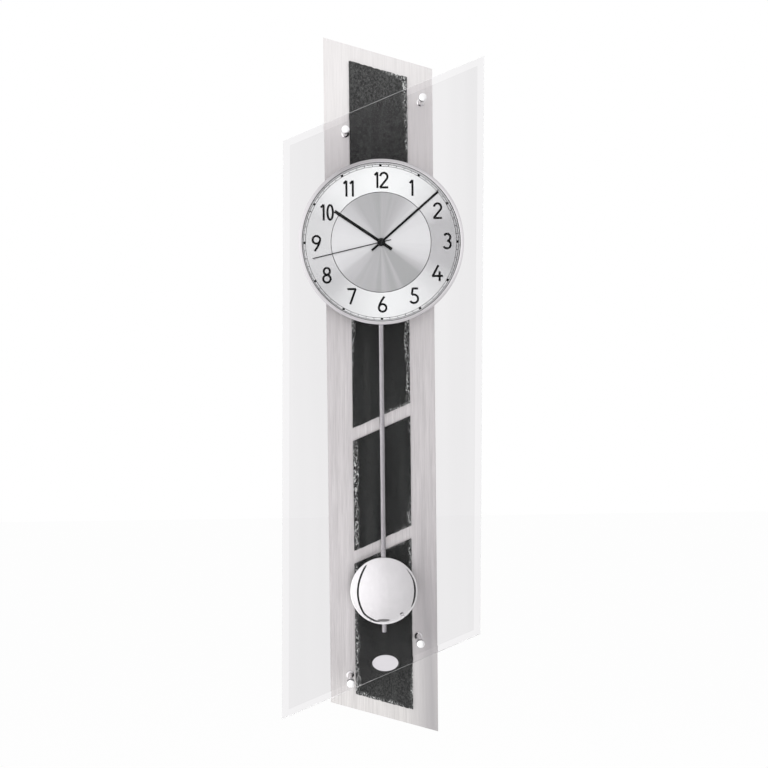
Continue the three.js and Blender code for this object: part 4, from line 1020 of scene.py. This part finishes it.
dress(moulding, "movement_shell", "movement_cover", "setting_knob")
dress(zinc, "tube_nut", "stator", "battery_contact_plus", "battery_contact_minus", "pivot_pin")
matt_plastic = {"Specular IOR Level": 0.4}
acetal = grained("acetal_gears", matt_plastic, 700, 3, ("#dcd8cc", "#efece3"), (0.36, 0.52), 0.01 * mm)
dress(acetal, "train_plate", "cannon_pinion", "hour_wheel", "minute_wheel")
dress(acetal, "seconds_wheel", "intermediate_wheel")
winding, shader, place = finish("copper_winding", {"Metallic": 1.0})
wave = {"Vector": place, "Scale": 900.0, "Distortion": 0.6}
wires = place.node("ShaderNodeTexWave", {"bands_direction": "X"}, wave)
feed(
    shader,
    colour=mixed(wires, tone("#7c3a1c"), tone("#c9773f")),
    roughness=spread(wires, 0, 1, 0.5, 0.28),
    normal=relief(wires, 0.1 * mm),
)
dress(winding, "stepper_coil", "pendulum_coil")
board_mask, shader, place = finish("solder_mask", {})
bricks = {"Vector": place, "Scale": 420.0, "Mortar Size": 0.08}
tracks = place.node("ShaderNodeTexBrick", {"offset": 0.5}, bricks)
weave = grain(place, (1800, 1800, 1800), 2)
feed(
    shader,
    colour=mixed(weave, tone("#15472b"), tone("#23683f")),
    roughness=spread(weave, 0.3, 0.7, 0.25, 0.4),
    normal=relief(tracks.node("ShaderNodeRGBToBW", {}, {0: tracks}), 0.05 * mm),
)
dress(board_mask, "circuit_board")
sleeve, shader, place = finish("cell_sleeve", {"Metallic": 0.7})
length_share = spread(along(place, "X"), -0.022, 0.0245)
rub = grain(place, (900, 900, 900), 4)
sleeve_bands = {
    "stops": [
        (0, tone("#9fa2a5")),
        (0.04, tone("#2c3036")),
        (0.62, tone("#b08d4f")),
        (0.97, tone("#b9bbbd")),
    ],
    "interpolation": "CONSTANT",
}
feed(
    shader,
    colour=length_share.node("ShaderNodeValToRGB", sleeve_bands, {0: length_share}),
    roughness=spread(rub, 0.3, 0.7, 0.22, 0.4),
    normal=relief(rub, 0.01 * mm),
)
dress(sleeve, "battery")
magnet_grey = ("#3a3b3e", "#58595d")
sintered = grained("sintered_magnet", {"Metallic": 0.8}, 2400, 3, magnet_grey, (0.4, 0.6), 0.02 * mm)
dress(sintered, "rotor", "drive_magnet")
cover_screw = turned([(1.1, -0.85), (1.6, -0.78), (1.95, -0.5), (2.1, -0.2), (2.1, 0)], 40)
cross_wide, cross_long, cross_bed = 0.6, 2.5, -0.35
for turn in (0, 90):
    bar = block((-cross_wide / 2, -cross_long / 2, -2), (cross_wide / 2, cross_long / 2, cross_bed))
    bar.rotation_euler.z = math.radians(turn + 35)
    cut_away(cover_screw, bar)
smooth(cover_screw)
cover_rear, cover_left, cover_right, cover_upper, cover_lower = 33.88, -25.5, 25.5, 14, -36
cover_corners = [(x, y) for y in (cover_upper, cover_lower) for x in (cover_left, cover_right)]
for count, (x, y) in enumerate(cover_corners, 1):
    screw = copied(cover_screw)
    screw.location = (x * mm, y * mm, cover_rear * mm)
    hang(screw, f"cover_screw_{count}", "frame", zinc)
bpy.data.objects.remove(cover_screw)


# Hands
# Straight stamped hands, sprayed satin black, each pressed by its round hub on its own arbor. The second
# hand has a small boss that covers the others.
hand_black = ("#0b0b0c", "#151516")
dull_paint = {"Specular IOR Level": 0.12}
hand_paint = grained("hand_paint", dull_paint, 1500, 4, hand_black, (0.38, 0.52), 0.01 * mm)


def clock_hand(name, body, angle, hub, tip, tail, width, thickness):
    """A bevelled blade joined to its turned hub; angle runs clockwise from twelve, in degrees.

    Tip and tail are the blade's reaches from the axis.
    """
    foot = flat_box(name)[0].z
    blade = block((-width / 2, -tail, foot), (width / 2, tip, foot + thickness))
    edit(blade)
    bpy.ops.mesh.bevel(offset=thickness * 0.22 * mm, segments=2, affect="EDGES")
    close()
    centre = turned(hub, 56)
    centre.location.z += foot * mm
    only(blade)
    centre.select_set(True)
    bpy.ops.object.join()
    blade.rotation_euler.z = -math.radians(angle)
    smooth(blade, 30)
    hang(blade, name + "_sprayed", body, hand_paint, name)


hub_radius, hub_height = 3.9, 1.1
hour_bore, minute_bore, second_bore = 2.53, 1.56, 0.65
hub_foot = [(hub_radius - 0.1, 0), (hub_radius, 0.1)]
flat_top = [(hub_radius, hub_height - 0.15), (hub_radius - 0.15, hub_height)]
domed_top = [(hub_radius, 0.5), (3.4, 0.72), (2.7, 0.95), (2.1, 1.06), (1.2, hub_height)]
hour_hub = [(hour_bore, 0)] + hub_foot + flat_top + [(hour_bore, hub_height)]
minute_hub = [(minute_bore, 0)] + hub_foot + flat_top + [(minute_bore, hub_height)]
second_hub = [(second_bore, 0)] + hub_foot + domed_top
hour_size = {"tip": 54.2, "tail": 12.5, "width": 3, "thickness": 0.6}
minute_size = {"tip": 74.1, "tail": 12.2, "width": 2.2, "thickness": 0.6}
second_size = {"tip": 68.6, "tail": 9.8, "width": 0.9, "thickness": 0.3}
clock_hand("hour_hand", "hour_group", 304.1, hour_hub, **hour_size)
clock_hand("minute_hand", "minute_group", 49, minute_hub, **minute_size)
clock_hand("second_hand", "seconds_group", 257, second_hub, **second_size)


# Pendulum
# A stamped steel arm hangs from the pivot pin and carries the drive magnet. A chromed rod hangs on its
# stud, and a spun and polished bob is clipped to the rod through its black moulded back.
dress(zinc, "pendulum_arm")
dress(moulding, "bob_back")
drawn_steel, shader, place = finish("drawn_rod", {"Metallic": 1.0})
drawing_marks = grain(place, (2600, 2600, 12), 3)
feed(
    shader,
    colour=mixed(spread(drawing_marks, 0.35, 0.65), tone("#acaaac"), tone("#c8c5c9")),
    roughness=spread(drawing_marks, 0.3, 0.7, 0.07, 0.14),
    normal=relief(drawing_marks, 0.01 * mm),
)
rod_low, rod_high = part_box("pendulum_rod")
rod_length, rod_radius = (rod_high.z - rod_low.z) / mm, rod_high.x / mm
rod_foot = [(rod_radius - 0.6, 0), (rod_radius - 0.2, 0.2), (rod_radius, 0.6)]
rod_head = [(radius, rod_length - height) for radius, height in reversed(rod_foot)]
rod = turned(rod_foot + rod_head, 48)
rod_y = (rod_low.y + rod_high.y) / 2
rod.location += Vector((0, rod_y, rod_low.z))
settle(rod)
stud_hole, hole_below_top = 1.36, 5
bpy.ops.mesh.primitive_cylinder_add(
    vertices=32,
    radius=stud_hole * mm,
    depth=8 * mm,
    location=(0, rod_y, rod_high.z - hole_below_top * mm),
    rotation=(math.pi / 2, 0, 0),
)
cut_away(rod, bpy.context.object)
smooth(rod, 30)
fit(rod, "pendulum_rod_chromed", "pendulum", drawn_steel, "pendulum_rod")
bob_low, bob_high = flat_box("bob_shell")
bob_rim, bob_sheet, bob_steps = 2, 0.9, 33
bob_radius, bob_dome = bob_high.x, bob_high.z - bob_low.z - bob_rim
sphere = (bob_radius**2 + bob_dome**2) / (2 * bob_dome)
dome_angle = math.asin(bob_radius / sphere)
bob_profile = [(bob_radius - bob_sheet, bob_rim), (bob_radius - bob_sheet, 0), (bob_radius - 0.2, 0)]
bob_profile += [(bob_radius, 0.2), (bob_radius, bob_rim - 0.3)]
for step in range(1, bob_steps):
    lean = dome_angle * (1 - step / bob_steps)
    bob_profile.append((sphere * math.sin(lean), bob_rim + bob_dome - sphere * (1 - math.cos(lean))))
bob = turned(bob_profile, 128)
bob.location = foot_of("bob_shell")
smooth(bob, 40)
hang(bob, "bob_polished", "pendulum", chrome, "bob_shell")


# Studio
# A pale floor well below the clock, white surroundings and soft lamps. A tent round the bob, brighter on
# the left, and the dark rods that hold it open are seen by mirrors only.
def looked_at(tree):
    """1 for rays from the camera, a mirror or glass, and 0 for those that only light the clock."""
    seen = Shade(tree.nodes.new("ShaderNodeLightPath").outputs["Is Camera Ray"])
    for ray in ("Is Glossy Ray", "Is Transmission Ray"):
        seen = seen.maths("MAXIMUM", seen, seen.node("ShaderNodeLightPath", {}, {}, ray))
    return seen


floor_z, floor_size = -1.25, 14
bpy.ops.object.select_all(action="DESELECT")
bpy.ops.mesh.primitive_plane_add(size=floor_size, location=(0, 0, floor_z))
floor = bpy.context.object
floor.name = "studio_floor"
pale, shader, place = finish("pale_floor", {"Roughness": 0.9})
feed(shader, colour=mixed(grain(place, (3, 3, 3), 2), tone("#e6e6e6"), tone("#ececec")))
tree = pale.node_tree
seen = looked_at(tree)
white = seen.node("ShaderNodeEmission", {}, {"Color": (1, 1, 1, 1), "Strength": 1.0})
lit = Shade(shader.outputs["BSDF"])
shown = seen.node("ShaderNodeMixShader", {}, {0: seen * 0.97, 1: lit, 2: white})
tree.links.new(shown.output, tree.nodes["Material Output"].inputs["Surface"])
floor.data.materials.append(pale)

world = bpy.data.worlds.new("studio")
world.use_nodes = True
bpy.context.scene.world = world
tree = world.node_tree
seen = looked_at(tree)
ambient = 0.55
tree.links.new((seen * (1 - ambient) + ambient).output, tree.nodes["Background"].inputs["Strength"])
tree.nodes["Background"].inputs["Color"].default_value = (1, 1, 1, 1)
tent_reach = 0.74
tent_middle = (0, -40 * mm, -476 * mm)  # at the bob's dome
rod_reach = tent_reach - 0.04


def mirrored_only(prop, colour):
    """Makes a prop of the studio glow in the given colour for rays that have left a mirror."""
    material = bpy.data.materials.new(prop.name)
    material.use_nodes = True
    tree = material.node_tree
    bounces = Shade(tree.nodes.new("ShaderNodeLightPath").outputs["Glossy Depth"])
    place = bounces.node("ShaderNodeTexCoord", {}, {}, "Object")
    glow = bounces.node("ShaderNodeEmission", {}, {"Color": colour(place)})
    air = bounces.node("ShaderNodeBsdfTransparent", {}, {})
    mirrored = bounces.maths("GREATER_THAN", bounces, 0.5)
    shown = mirrored.node("ShaderNodeMixShader", {}, {0: mirrored, 1: air, 2: glow})
    tree.links.new(shown.output, tree.nodes["Material Output"].inputs["Surface"])
    material.cycles.emission_sampling = "NONE"
    prop.data.materials.clear()
    prop.data.materials.append(material)
    prop.location = tent_middle
    prop.visible_camera = prop.visible_diffuse = prop.visible_shadow = False


def tent_glow(place):
    """A glow of about 1.2, stronger on the left and weaker above and below."""
    across, upwards = along(place, "X") / tent_reach, along(place, "Z") / tent_reach
    return 1.2 - across * 0.42 - upwards * upwards * 0.15


bpy.ops.object.select_all(action="DESELECT")
bpy.ops.mesh.primitive_uv_sphere_add(segments=64, ring_count=32, radius=tent_reach)
tent = bpy.context.object
tent.name = "mirror_tent"
edit(tent, lambda face: face.center.y > 0)
bpy.ops.mesh.delete(type="FACE")
bpy.ops.object.mode_set(mode="OBJECT")
mirrored_only(tent, tent_glow)
# Each rod runs through directions from the tent's middle: degrees to the right and upwards.
left_turns = [(-50 + ((tilt + 30) / 22) ** 2, tilt) for tilt in range(43, -49, -7)]
left_turns += [(-45, -55), (-38, -60.5), (-28, -66), (-13, -69.3), (4, -70), (14, -69.8)]
right_turns = [(63 - tilt / 10, tilt) for tilt in range(14, -43, -8)]
upper_turns = [(61.8 - ((tilt + 10) / 12.5) ** 2, tilt) for tilt in range(30, -6, -7)]
near_black = (0.004, 0.004, 0.004, 1)
for name, turns, thickness in (
    ("left_rod", left_turns, 0.048),
    ("right_rod", right_turns, 0.085),
    ("upper_rod", upper_turns, 0.024),
):
    points = []
    for turn, tilt in turns:
        turn, tilt = math.radians(turn), math.radians(tilt)
        level = math.cos(tilt) * rod_reach
        points.append((level * math.sin(turn), -level * math.cos(turn), rod_reach * math.sin(tilt)))
    mirrored_only(drawn_lines(name, [points], thickness, 0.15), lambda place: near_black)
lamp_aim = Vector((0, 0, -0.27))
for name, spot, size, power in (
    ("key_lamp", (-0.8, -2.4, 0.6), 1.6, 22),
    ("fill_lamp", (1.0, -2.4, 0.1), 1.6, 13),
    ("top_lamp", (0.1, -1.5, 1.2), 1.2, 8),
    ("rear_lamp", (0.7, 2.2, 0.6), 1.6, 16),
):
    bpy.ops.object.light_add(type="AREA", location=spot)
    lamp = bpy.context.object
    lamp.name = name
    lamp.data.size = size
    lamp.data.energy = power
    lamp.visible_glossy = lamp.visible_transmission = False
    lamp.rotation_euler = (lamp_aim - lamp.location).to_track_quat("-Z", "Y").to_euler()

eye = Vector((-0.0516, -1.7116, -0.1993))
target = Vector((0.0029, -0.0116, -0.2703))
bpy.ops.object.camera_add(location=eye)
camera = bpy.context.object
camera.data.lens = 79.3
camera.data.sensor_width = 36
roll = Matrix.Rotation(math.radians(-0.6), 4, "Z")
gaze = (target - eye).to_track_quat("-Z", "Y").to_matrix().to_4x4()
camera.matrix_world = Matrix.Translation(eye) @ gaze @ roll
bpy.context.scene.camera = camera
bpy.context.scene.view_settings.view_transform = "Standard"
